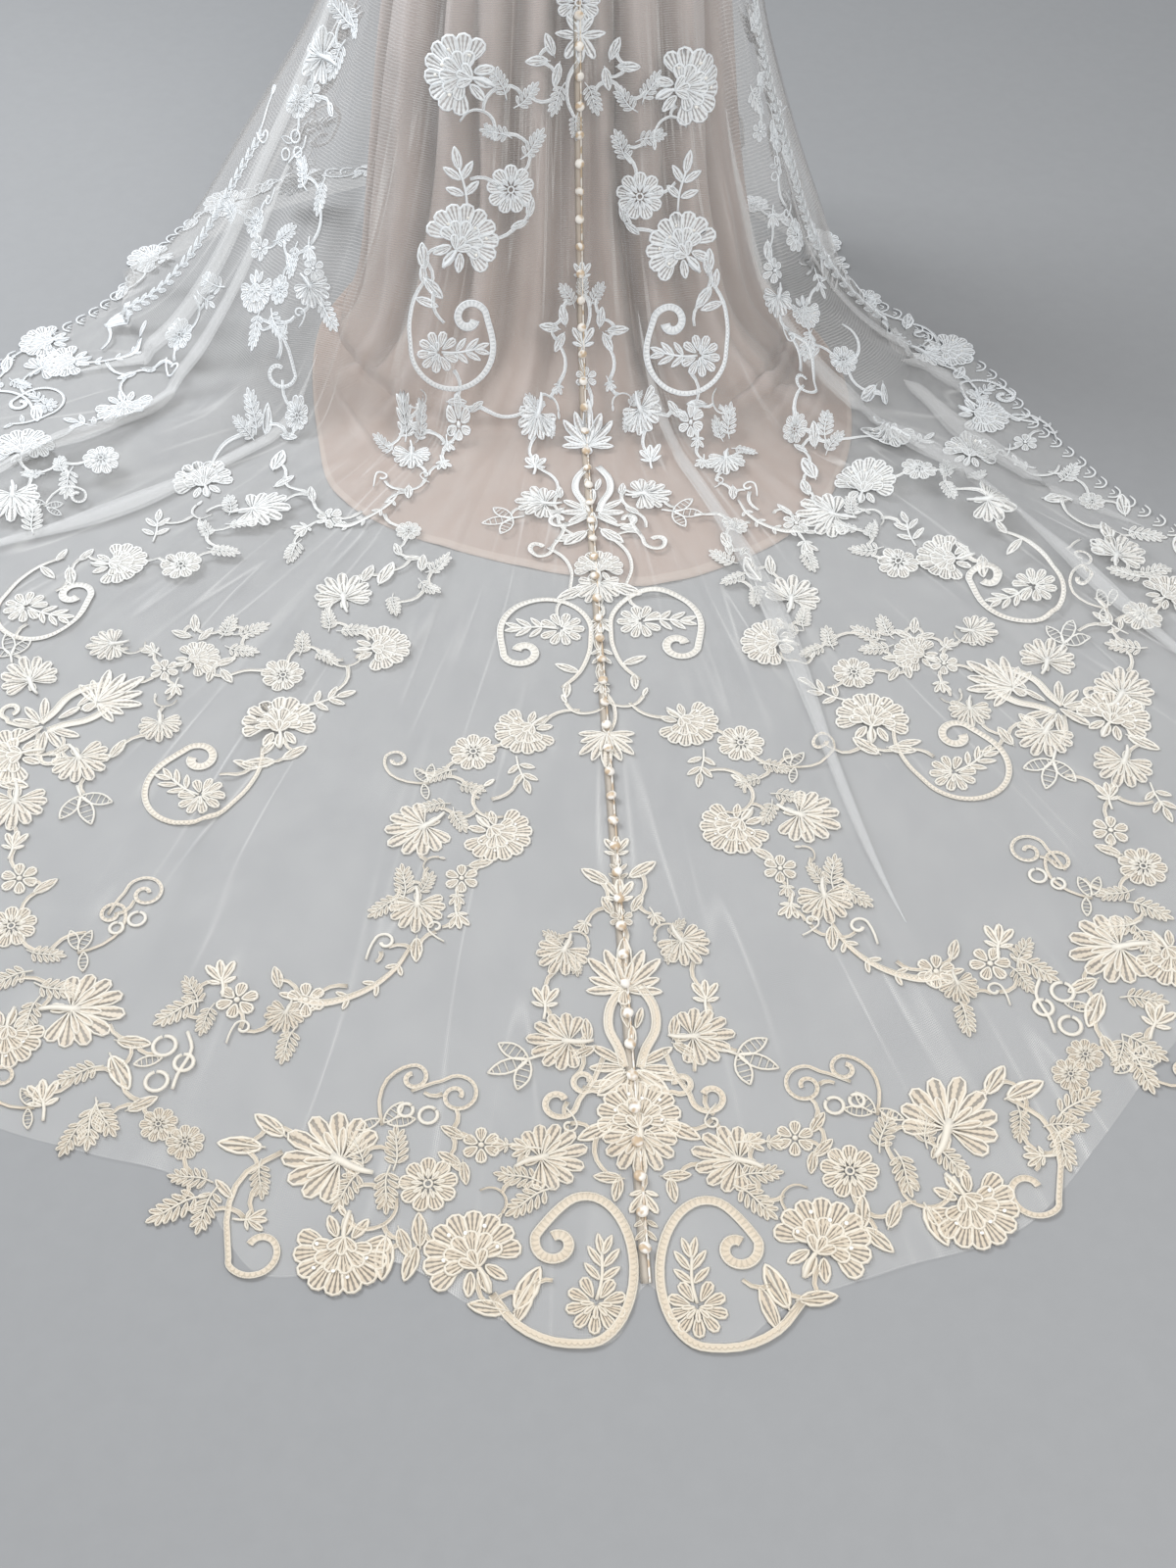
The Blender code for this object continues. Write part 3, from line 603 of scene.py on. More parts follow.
@dataclass(frozen=True)
class NetFinish:
    """Sheer net: fine threads round open cells."""

    name: str = "net"
    colour: Colour = (0.83, 0.82, 0.80)
    cell: float = 0.0024
    unevenness: float = 0.35
    open_share: float = 0.085
    thread_share: float = 0.40
    thread_edges: tuple[float, float] = (0.16, 0.05)
    cloud: float = 0.09
    crease_pitch: float = 0.10
    crease_length: float = 0.85
    crease_share: float = 0.24
    crease_breadth: float = 0.022
    crease_patch: float = 0.35

    def make(self) -> bpy.types.Material:
        """The net's material."""
        paint = Paint(self.name)
        vector, parts = paint.place(CLOTH_UV)
        cells = paint.nodes.new("ShaderNodeTexVoronoi")
        cells.feature = "DISTANCE_TO_EDGE"
        cells.voronoi_dimensions = "2D"
        cells.inputs["Scale"].default_value = 1.0 / self.cell
        cells.inputs["Randomness"].default_value = self.unevenness
        paint.links.new(vector, cells.inputs["Vector"])
        thread = paint.span(cells.outputs["Distance"], *self.thread_edges, self.open_share, self.thread_share)
        cloud = paint.span(paint.noise(vector, self.cloud), 0.3, 0.7, 0.85, 1.2)
        stretched = paint.nodes.new("ShaderNodeCombineXYZ")
        paint.feed(stretched.inputs[0], paint.math("DIVIDE", parts[0], self.crease_pitch))
        paint.feed(stretched.inputs[1], paint.math("DIVIDE", parts[1], self.crease_length))
        wave = paint.noise(stretched.outputs[0], 1.0, 1.0)
        ridge = paint.math("ABSOLUTE", paint.math("SUBTRACT", wave, 0.5))
        patchy = paint.span(paint.noise(vector, self.crease_patch), 0.42, 0.62, 0.0, self.crease_share)
        doubled = paint.math("MULTIPLY", paint.span(ridge, self.crease_breadth, 0.0), patchy)
        paint.set(Base_Color=(*self.colour, 1.0), Roughness=0.6, Sheen_Weight=0.35, Sheen_Roughness=0.4,
                  Alpha=paint.math("MULTIPLY_ADD", thread, cloud, doubled))
        return paint.material


@dataclass(frozen=True)
class SatinFinish:
    """Soft satin with a fine weave, darker towards the floor, with painted shade in its troughs and a painted
    highlight on its folds.
    """

    name: str
    high: Colour
    low: Colour
    band: Colour
    band_width: float = 0.0
    low_reach: float = 0.55
    blotch: float = 0.11
    # shares of the painted shade in the troughs and of the painted highlight on the folds
    painted_trough_shade: float = 0.62
    painted_fold_highlight: float = 0.45
    weave: float = 0.0011
    grain: float = 0.006

    def make(self) -> bpy.types.Material:
        """The satin's material."""
        paint = Paint(self.name)
        vector, parts = paint.place(CLOTH_UV)
        where, place = paint.place()
        colour = paint.mix(paint.span(place[2], FLOOR, FLOOR + self.low_reach), self.low, self.high)
        blotch = paint.span(paint.noise(where, self.blotch, 3.0), 0.35, 0.7, 0.0, 0.22)
        colour = paint.mix(blotch, colour, scaled(self.low, 0.72))
        # painted shade darkens the creases' troughs, and a painted highlight lightens their folds
        dip = paint.attribute(SHADE_DIP)
        colour = paint.mix(paint.span(dip, 0.05, 1.0, 0.0, self.painted_trough_shade), colour, scaled(self.low, 0.48))
        folds = paint.span(dip, -0.05, -0.6, 0.0, self.painted_fold_highlight)
        colour = paint.mix(folds, colour, scaled(self.high, 1.25))
        if self.band_width:
            hem = paint.math("LESS_THAN", parts[1], self.band_width)
            colour = paint.mix(paint.math("MULTIPLY", hem, 0.55), colour, self.band)
        weave = paint.math("MULTIPLY", *(paint.threads(part, self.weave) for part in parts[:2]))
        grain = paint.math("ADD", weave, paint.math("MULTIPLY", paint.noise(vector, self.grain), 1.4))
        paint.bump(grain, 0.0003, 0.5)
        paint.set(Base_Color=colour, Roughness=0.5, Sheen_Weight=0.3, Sheen_Roughness=0.45)
        return paint.material


@dataclass(frozen=True)
class LaceFinish:
    """Stitched ivory thread, cool and white high on the skirt and warmer along the train; that change is
    partly the thread's own tone and partly painted light, a cool tint high up and a warm one lower down.
    """

    name: str
    cool: Colour = (0.90, 0.93, 0.95)
    ivory: Colour = (0.89, 0.86, 0.79)
    warm: Colour = (0.83, 0.76, 0.64)
    # tan of the ageing patches, and of the painted shade in the fill
    shade: Colour = (0.58, 0.45, 0.31)
    turning: tuple[float, float, float] = (-0.30, -0.95, -1.70)   # y where it is cool, ivory and warm
    twist: float = 0.0016
    ray: float = 0.19
    rung: float = 0.0056
    slits: bool = False

    def make(self) -> bpy.types.Material:
        """The lace's material, with open slits between the threads of a fill."""
        paint = Paint(self.name)
        _, stitch = paint.place(STITCH_UV)
        where, place = paint.place()
        # partly painted light: cool white high up and warm ivory down the train tint the thread as cool light
        # from above and warmer light lower down would
        colour = paint.mix(paint.span(place[1], *self.turning[:2]), self.cool, self.ivory)
        colour = paint.mix(paint.span(place[1], *self.turning[1:]), colour, self.warm)
        age = paint.math("MULTIPLY", paint.span(place[1], -0.5, -1.5, 0.25, 1.0),
                         paint.span(paint.noise(where, 0.03), 0.45, 0.75, 0.0, 0.30 if self.slits else 0.12))
        colour = paint.mix(age, colour, self.shade)
        if self.slits:
            fan = paint.math("ARCTAN2", stitch[0], paint.math("ADD", stitch[1], 0.002))
            rungs = paint.math("MULTIPLY_ADD", paint.threads(stitch[1], self.rung), 0.45, 0.55)
            pattern = paint.math("MULTIPLY", paint.threads(fan, self.ray), rungs)
            # painted shade: the fill darkens towards tan down the train, for the shadow seen through and
            # between its threads
            colour = paint.mix(paint.span(place[1], -0.45, -1.35, 0.08, 0.46), colour, self.shade)
            paint.set(Alpha=paint.span(pattern, 0.16, 0.44, 0.20, 0.90))
            paint.bump(pattern, 0.0006, 0.7)
        else:
            twist = paint.threads(paint.math("ADD", stitch[1], stitch[0]), self.twist)
            paint.bump(twist, 0.0005, 0.6)
        paint.set(Base_Color=colour, Roughness=0.62, Sheen_Weight=0.25, Sheen_Roughness=0.5)
        return paint.material


@dataclass(frozen=True)
class ButtonFinish:
    """Ivory satin stretched over a button, browner on one side, where soft tan patches are painted shade."""

    name: str = "button_satin"
    ivory: Colour = (0.84, 0.80, 0.74)
    # tan of the painted shade on the buttons
    tan: Colour = (0.50, 0.35, 0.20)
    patch: float = 0.009
    grain: float = 0.0012

    def make(self) -> bpy.types.Material:
        """The buttons' material."""
        paint = Paint(self.name)
        where, _ = paint.place()
        # painted shade: soft tan patches brown one side of each button
        shade = paint.span(paint.noise(where, self.patch, 1.0), 0.45, 0.58, 0.0, 0.85)
        colour = paint.mix(shade, self.ivory, self.tan)
        paint.bump(paint.noise(where, self.grain), 0.0002, 0.4)
        paint.set(Base_Color=colour, Roughness=0.36, Sheen_Weight=0.2)
        return paint.material


@dataclass(frozen=True)
class PlainFinish:
    """One cloth or floor colour with a soft grain."""

    name: str
    colour: Colour
    grain: float
    depth: float
    roughness: float = 0.6
    alpha: float = 1.0

    def make(self) -> bpy.types.Material:
        """The material."""
        paint = Paint(self.name)
        where, _ = paint.place()
        grain = paint.noise(where, self.grain)
        colour = paint.mix(paint.span(grain, 0.3, 0.7, 0.0, 0.12), self.colour, scaled(self.colour, 0.8))
        paint.bump(grain, self.depth, 0.5)
        paint.set(Base_Color=colour, Roughness=self.roughness, Alpha=self.alpha)
        return paint.material


# ---------------------------------------------------------------- meshes
def close_mesh(bm: bmesh.types.BMesh, name: str) -> bpy.types.Mesh:
    """Turn a finished bmesh into a mesh."""
    mesh = bpy.data.meshes.new(name)
    bm.to_mesh(mesh)
    bm.free()
    return mesh


def set_points(mesh: bpy.types.Mesh, points: np.ndarray) -> None:
    """Move a mesh's vertices to new places."""
    mesh.vertices.foreach_set("co", np.asarray(points, np.float32).ravel())
    mesh.update()


def get_points(mesh: bpy.types.Mesh) -> np.ndarray:
    """A mesh's vertices, one row each."""
    points = np.empty(len(mesh.vertices) * 3, np.float32)
    mesh.vertices.foreach_get("co", points)
    return points.reshape(-1, 3).astype(float)


def show(name: str, mesh: bpy.types.Mesh, slot: str, *materials: bpy.types.Material) -> bpy.types.Object:
    """Put a mesh in the scene as a piece of the dress.

    Args:
        name: The piece's name.
        mesh: Its mesh, in place.
        slot: The record's material slot for the piece; not used.
        *materials: Its materials.

    Returns:
        The new object.
    """
    for material in materials:
        mesh.materials.append(material)
    mesh.shade_smooth()
    piece = bpy.data.objects.new(name, mesh)
    bpy.context.scene.collection.objects.link(piece)
    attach(piece, "root")
    LOG.info("%s: %d faces", name, len(mesh.polygons))
    return piece


def cloth_mesh(name: str, points: np.ndarray, width: float, length: float,
               dips: np.ndarray | None = None) -> bpy.types.Mesh:
    """A cloth mesh from an operator's grid whose vertices are put in place.

    Args:
        name: The mesh's name.
        points: Points by column and row, the first row at the top.
        width: Flat width in metres, for the weave.
        length: Flat length in metres.
        dips: How deep in a trough each point lies, by column and row, where the finish paints shade and
            highlight by it.

    Returns:
        The mesh, with its CLOTH_UV map in metres from the hem's left end.
    """
    columns, rows = points.shape[0] - 1, points.shape[1] - 1
    bm = bmesh.new()
    bm.loops.layers.uv.new(CLOTH_UV)
    bmesh.ops.create_grid(bm, x_segments=columns, y_segments=rows, size=1.0, calc_uvs=True)
    mesh = close_mesh(bm, name)
    flat = get_points(mesh)
    column = np.rint((flat[:, 0] + 1.0) / 2.0 * columns).astype(int)
    row = np.rint((1.0 - flat[:, 1]) / 2.0 * rows).astype(int)
    set_points(mesh, points[column, row])
    if dips is not None:
        depths = mesh.attributes.new(SHADE_DIP, "FLOAT", "POINT").data
        depths.foreach_set("value", dips[column, row].astype(np.float32))
    layer = mesh.uv_layers[CLOTH_UV]
    share = np.empty(len(mesh.loops) * 2, np.float32)
    layer.uv.foreach_get("vector", share)
    share = share.reshape(-1, 2) * (width, length)
    layer.uv.foreach_set("vector", share.astype(np.float32).ravel())
    return mesh


def add_wall(piece: bpy.types.Object, wall: float) -> None:
    """Give a cloth piece its thickness, outward from its mesh."""
    solidify = piece.modifiers.new("wall", "SOLIDIFY")
    solidify.thickness = wall
    solidify.offset = 1.0


def flat_size(points: np.ndarray, fullness: float = 1.0) -> tuple[tuple[float, float], float]:
    """The size that a panel is cut to, from its points.

    Args:
        points: Points by column and row.
        fullness: Above 1 adds the cloth that is taken up in gathers.

    Returns:
        Width and length of the cut, and its area.
    """
    across = np.linalg.norm(np.diff(points[:, :, :2], axis=0), axis=2).sum(axis=0)
    down = np.linalg.norm(np.diff(points, axis=1), axis=2).sum(axis=1)
    diagonals = points[1:, 1:] - points[:-1, :-1], points[1:, :-1] - points[:-1, 1:]
    area = float(np.linalg.norm(np.cross(*diagonals), axis=2).sum() / 2.0)
    return (float(across.max()), float(down.mean())), area * fullness


@dataclass(frozen=True)
class Panel:
    """One cut panel of a skirt: its node, and its side seams' azimuths from centre back."""

    node: str
    first: float
    last: float
    columns: int

    def azimuths(self) -> np.ndarray:
        """Azimuth of each column, half a seam inside the side seams at the hem."""
        inset = math.degrees(SEAM / 2.0)
        return np.linspace(self.first + inset, self.last - inset, self.columns + 1)


def seated_strip(bm: bmesh.types.BMesh, line: np.ndarray, out: np.ndarray, widths: np.ndarray, wall: float,
                 lift: float) -> None:
    """Add a flat strip that follows a line on the cloth.

    Args:
        bm: Mesh to add to.
        line: Points along it, on the cloth.
        out: Outward direction at each point.
        widths: Half width at each point.
        wall: Its thickness.
        lift: Height of its underside.
    """
    steps = len(line) - 1
    across = unit(np.cross(np.gradient(line, axis=0), out))
    for vert in add_tube(bm, 4, steps):
        step = int(round((vert.co.z + 0.5) * steps))
        rise = wall * (vert.co.y + 1.0) / 2.0
        vert.co = line[step] + across[step] * vert.co.x * widths[step] + out[step] * (lift + rise)
        vert.co.z = max(vert.co.z, FLOOR + LIE + rise)


@dataclass
class SkirtLayer:
    """One layer of the skirt: its panels, finish and thickness."""

    form: Skirt
    panels: tuple[Panel, ...]
    slot: str
    lift: float
    wall: float
    rows: np.ndarray
    held: str
    rests_on: tuple[str, ...]
    fullness: float = 1.0
    meshes: dict[str, bpy.types.Mesh] = field(default_factory=dict)
    pieces: dict[str, bpy.types.Object] = field(default_factory=dict)
    cuts: dict[str, tuple] = field(default_factory=dict)

    TUCK_SHARES: ClassVar[np.ndarray] = np.linspace(0.06, 0.94, 60)
    TUCK_REACH: ClassVar[tuple[float, float]] = (0.4, 0.006)
    TUCK_PLIES: ClassVar[Rows] = ((1.25, 0.0004), (0.75, 0.0007))     # share of the crease's width, lift
    TUCK_WALL: ClassVar[float] = 0.0002
    TUCK_ENDS: ClassVar[float] = 0.05               # share of the crease that each end leaves out
    TUCK_SWELL: ClassVar[tuple[float, float, float]] = (1.1, 0.25, 17.0)    # mean, change, waves
    SEAM_ROOM: ClassVar[float] = 0.5                # degrees that a tuck keeps from a seam

    def build(self, material: bpy.types.Material, ending: str) -> None:
        """Make the layer's panels.

        Args:
            material: The cloth's finish.
            ending: Last word of each piece's name.
        """
        for panel in self.panels:
            azimuths = panel.azimuths()
            points = self.form.grid(azimuths, self.rows, self.lift)
            flat, area = flat_size(points, self.fullness)
            radius = np.hypot(points[:, :, 0], points[:, :, 1])
            # how deep each point lies in a trough, which the satin's painted shade and painted highlight
            # follow
            dips = np.clip(-self.form.crease_heights(azimuths, self.rows, radius) / DEEPEST, -1.0, 1.0)
            mesh = cloth_mesh(panel.node + ending, points, *flat, dips)
            piece = show(panel.node + ending, mesh, self.slot, material)
            if self.wall:
                add_wall(piece, self.wall)
            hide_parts(panel.node)
            self.meshes[panel.node] = mesh
            self.pieces[panel.node] = piece
            self.cuts[panel.node] = (flat, area)

    def tuck(self, panel: Panel, least: float, material: bpy.types.Material) -> list[bpy.types.Object]:
        """Lay the cloth double along a panel's highest creases.

        Args:
            panel: The panel.
            least: Least height of a crease that is doubled.
            material: The doubled cloth's finish.

        Returns:
            The doubled strips as one piece, or nothing.
        """
        bm = bmesh.new()
        room = 2.0 * self.SEAM_ROOM
        mean, change, waves = self.TUCK_SWELL
        for azimuth, turn, start, end, width, height in self.form.creases:
            if height < least or not panel.first + room < azimuth + turn / 2.0 < panel.last - room:
                continue
            shares = self.TUCK_SHARES
            middles = np.clip(crease_azimuth(azimuth, turn, shares), panel.first + self.SEAM_ROOM,
                              panel.last - self.SEAM_ROOM)
            grids = [self.form.patch(float(middle), float(t), self.TUCK_REACH, self.lift)
                     for middle, t in zip(middles, start + (end - start) * shares)]
            line, out = (np.array(each) for each in zip(*((grid[1, 1], grid_normals(grid)[1, 1])
                                                          for grid in grids)))
            swell = np.sin(math.pi * (shares - self.TUCK_ENDS) / (1.0 - 2.0 * self.TUCK_ENDS))
            swell = swell * (mean + change * np.sin(waves * shares + azimuth))
            for share, lift in self.TUCK_PLIES:
                seated_strip(bm, line, out, share * width * swell, self.TUCK_WALL, lift)
        if not bm.verts:
            bm.free()
            return []
        bmesh.ops.recalc_face_normals(bm, faces=bm.faces)
        mesh = close_mesh(bm, panel.node + "_tucks")
        piece = show(mesh.name, mesh, self.slot, material)
        mesh.shade_flat()
        return [piece]

    def declare(self, trims: dict[str, list[bpy.types.Object]]) -> None:
        """Take the pieces sewn to each panel, and do nothing with them.

        Args:
            trims: The pieces on each panel, by node; not used.
        """


def skirt_rows(hanging: int, bend: int, lying: int) -> np.ndarray:
    """Places of a skirt's rows, closest where the cloth bends onto the floor."""
    return np.concatenate((np.linspace(0.0, BEND_START, hanging, endpoint=False),
                           np.linspace(BEND_START, BEND_END, bend, endpoint=False),
                           np.linspace(BEND_END, 2.0, lying)))


# ---------------------------------------------------------------- the eye and what it sees
@dataclass(frozen=True)
class Eye:
    """The camera: where it stands and how it looks."""

    place: tuple[float, float, float] = (-0.088, -2.3285, 0.05)
    down: float = 49.0
    heading: float = 2.7
    lens: float = 38.25
    sensor: float = 36.0
    frame: tuple[int, int] = (1200, 1600)

    def axes(self) -> tuple[Vector, Vector, Vector]:
        """Unit vectors to the right, up and forward."""
        down, heading = math.radians(self.down), math.radians(self.heading)
        forward = Vector((math.sin(heading) * math.cos(down), math.cos(heading) * math.cos(down),
                          -math.sin(down)))
        right = Vector((math.cos(heading), -math.sin(heading), 0.0))
        return right, right.cross(forward), forward

    def ray(self, x: float, y: float) -> Vector:
        """Direction through a place in the 1200 x 1600 frame."""
        right, up, forward = self.axes()
        focal = self.lens / self.sensor * self.frame[1]
        return (forward + right * ((x - self.frame[0] / 2) / focal) - up * ((y - self.frame[1] / 2) / focal)
                ).normalized()

    def build(self) -> None:
        """Make the scene's camera."""
        camera = bpy.data.cameras.new("camera")
        camera.lens, camera.sensor_width = self.lens, self.sensor
        camera.clip_end = 50.0
        eye = bpy.data.objects.new("camera", camera)
        bpy.context.scene.collection.objects.link(eye)
        right, up, forward = self.axes()
        turn = Matrix((right, up, -forward)).transposed().to_4x4()
        eye.matrix_world = Matrix.Translation(self.place) @ turn
        bpy.context.scene.camera = eye


@dataclass(frozen=True)
class Spot:
    """A place on the cloth: its origin, and unit vectors across, up and out."""

    origin: Vector
    across: Vector
    up: Vector
    out: Vector


class ClothFace:
    """The outer face of the net, which lace, tape and buttons are seated on."""

    REACH = 0.07          # how far off the cloth a point is still seated from
    JUMP = 0.045          # how far the cloth may lie from the plane of a motif
    NEAR_FLOOR = 0.045    # cloth below this height counts as flat on the floor
    ROUND, LOOKS = 0.03, 8    # radius and number of places that an outward direction is averaged over
    LEVEL = 0.9           # least z of an outward direction that counts as up

    def __init__(self, meshes: Iterable[bpy.types.Mesh]) -> None:
        """Read the panels' faces."""
        points, faces = [], []
        for mesh in meshes:
            start = sum(len(block) for block in points)
            points.append(get_points(mesh))
            corners = np.empty(len(mesh.polygons) * 4, np.int32)
            mesh.polygons.foreach_get("vertices", corners)
            faces.extend((corners.reshape(-1, 4) + start).tolist())
        self.tree = BVHTree.FromPolygons(np.concatenate(points).tolist(), faces)

    def meet(self, start: Vector, along: Vector) -> tuple[Vector, Vector]:
        """Where a line meets the cloth, or else the floor.

        Args:
            start: Where the line starts.
            along: Its direction.

        Returns:
            The place and the outward direction there.
        """
        hit, normal, _, _ = self.tree.ray_cast(start, along)
        if hit is None:
            floor = FLOOR + NET_WALL
            return start + along * ((floor - start.z) / along.z), Vector((0.0, 0.0, 1.0))
        return hit, normal if normal.dot(along) < 0.0 else -normal

    def outward(self, origin: Vector, normal: Vector) -> Vector:
        """The cloth's mean outward direction round a place; straight up where it lies on the floor."""
        if origin.z < FLOOR + self.NEAR_FLOOR:
            return Vector((0.0, 0.0, 1.0))
        total = normal.copy()
        side = normal.orthogonal().normalized()
        for step in range(self.LOOKS):
            offset = Matrix.Rotation(math.tau * step / self.LOOKS, 3, normal) @ side * self.ROUND
            start = origin + offset + normal * self.REACH
            hit, near, _, _ = self.tree.ray_cast(start, -normal, 2 * self.REACH)
            if hit is not None:
                total += near if near.dot(normal) > 0.0 else -near
        return total.normalized()

    def seat(self, points: np.ndarray, out: Vector, heights: np.ndarray) -> np.ndarray:
        """Lay points of a flat pattern on the cloth.

        Args:
            points: Points in the plane that touches the cloth.
            out: Outward direction of that plane.
            heights: Height that each point keeps above the cloth.

        Returns:
            The seated points.
        """
        seated = np.empty_like(points)
        for i, (point, height) in enumerate(zip(points, heights)):
            start = Vector(point) + out * self.REACH
            hit, normal, _, far = self.tree.ray_cast(start, -out, 2 * self.REACH)
            if hit is None or abs(far - self.REACH) > self.JUMP:
                if out.z > self.LEVEL:
                    hit, normal = Vector((point[0], point[1], FLOOR + NET_WALL)), out
                else:
                    hit, normal, _, _ = self.tree.find_nearest(Vector(point))
            if normal.dot(out) < 0.0:
                normal = -normal
            seated[i] = hit + normal * (height + LIE)
        return seated


# ---------------------------------------------------------------- lace patterns
SPIRAL_STEPS = 14


class Motif(Enum):
    """The kinds of lace motif."""

    PEONY = "peony"
    FAN = "fan"
    ROSETTE = "rosette"
    BLOSSOM = "blossom"
    BUD = "bud"
    LEAF = "leaf"
    SPRAY = "spray"
    FEATHER = "feather"
    LADDER = "ladder"
    CURL = "curl"
    HOOK = "hook"
    SCROLL = "scroll"
    LOTUS = "lotus"
    VASE = "vase"
    BELL = "bell"
    ACANTHUS = "acanthus"
    SCALLOP = "scallop"
    CRESCENT = "crescent"
    CURVE = "curve"
    TENDRIL = "tendril"
    CROOK = "crook"
    LOOPS = "loops"
    HOOP = "hoop"


def polar(radius: float, turn: float, start: Place = (0.0, 0.0)) -> Place:
    """A place at a distance from start, turn in degrees clockwise from up."""
    angle = math.radians(turn)
    return start[0] + radius * math.sin(angle), start[1] + radius * math.cos(angle)


def spread(count: int, span: float) -> np.ndarray:
    """Turns of count petals fanned over a span of degrees."""
    return np.linspace(-span / 2.0, span / 2.0, count)


def spline(points: Iterable[tuple[float, ...]], steps: int) -> np.ndarray:
    """Points of a smooth curve through some places.

    Args:
        points: The places.
        steps: Steps along the whole curve.

    Returns:
        steps + 1 points.
    """
    known = np.asarray(list(points), float)
    known = np.vstack((2 * known[0] - known[1], known, 2 * known[-1] - known[-2]))
    at = np.linspace(0.0, len(known) - 3 - 1e-9, steps + 1)
    i = at.astype(int)
    s = (at - i)[:, None]
    a, b, c, d = (known[i + k] for k in range(4))
    return 0.5 * (2 * b + (c - a) * s + (2 * a - 5 * b + 4 * c - d) * s ** 2
                  + (3 * b - a - 3 * c + d) * s ** 3)


def spiral(centre: Place, radii: tuple[float, float], turns: tuple[float, float]) -> list[Place]:
    """Places along a spiral.

    Args:
        centre: Its centre.
        radii: First and last radius.
        turns: First and last turn, degrees clockwise from up.

    Returns:
        The places.
    """
    (first, last), (start, end) = radii, turns
    shares = np.linspace(0.0, 1.0, SPIRAL_STEPS + 1)
    return [polar(first + (last - first) * float(draw), start + (end - start) * float(share), centre)
            for share, draw in zip(shares, ease(shares))]


def faces_of(verts: Iterable[bmesh.types.BMVert]) -> set[bmesh.types.BMFace]:
    """The faces that meet at some vertices."""
    return {face for vert in verts for face in vert.link_faces}


def add_tube(bm: bmesh.types.BMesh, sides: int, steps: int) -> list[bmesh.types.BMVert]:
    """Add a straight tube with closed ends, 1 in radius and 1 long.

    Args:
        bm: Mesh to add to.
        sides: Sides of its section.
        steps: Steps along it.

    Returns:
        Its vertices.
    """
    for vert in bm.verts:
        vert.tag = True
    made = bmesh.ops.create_cone(bm, cap_ends=True, segments=sides, radius1=1.0, radius2=1.0, depth=1.0)
    for vert in made["verts"]:
        vert.tag = False
    if steps > 1:
        long_edges = [edge for edge in {edge for vert in made["verts"] for edge in vert.link_edges}
                      if abs(edge.verts[0].co.z - edge.verts[1].co.z) > 0.5]
        bmesh.ops.subdivide_edges(bm, edges=long_edges, cuts=steps - 1)
    return [vert for vert in bm.verts if not vert.tag]


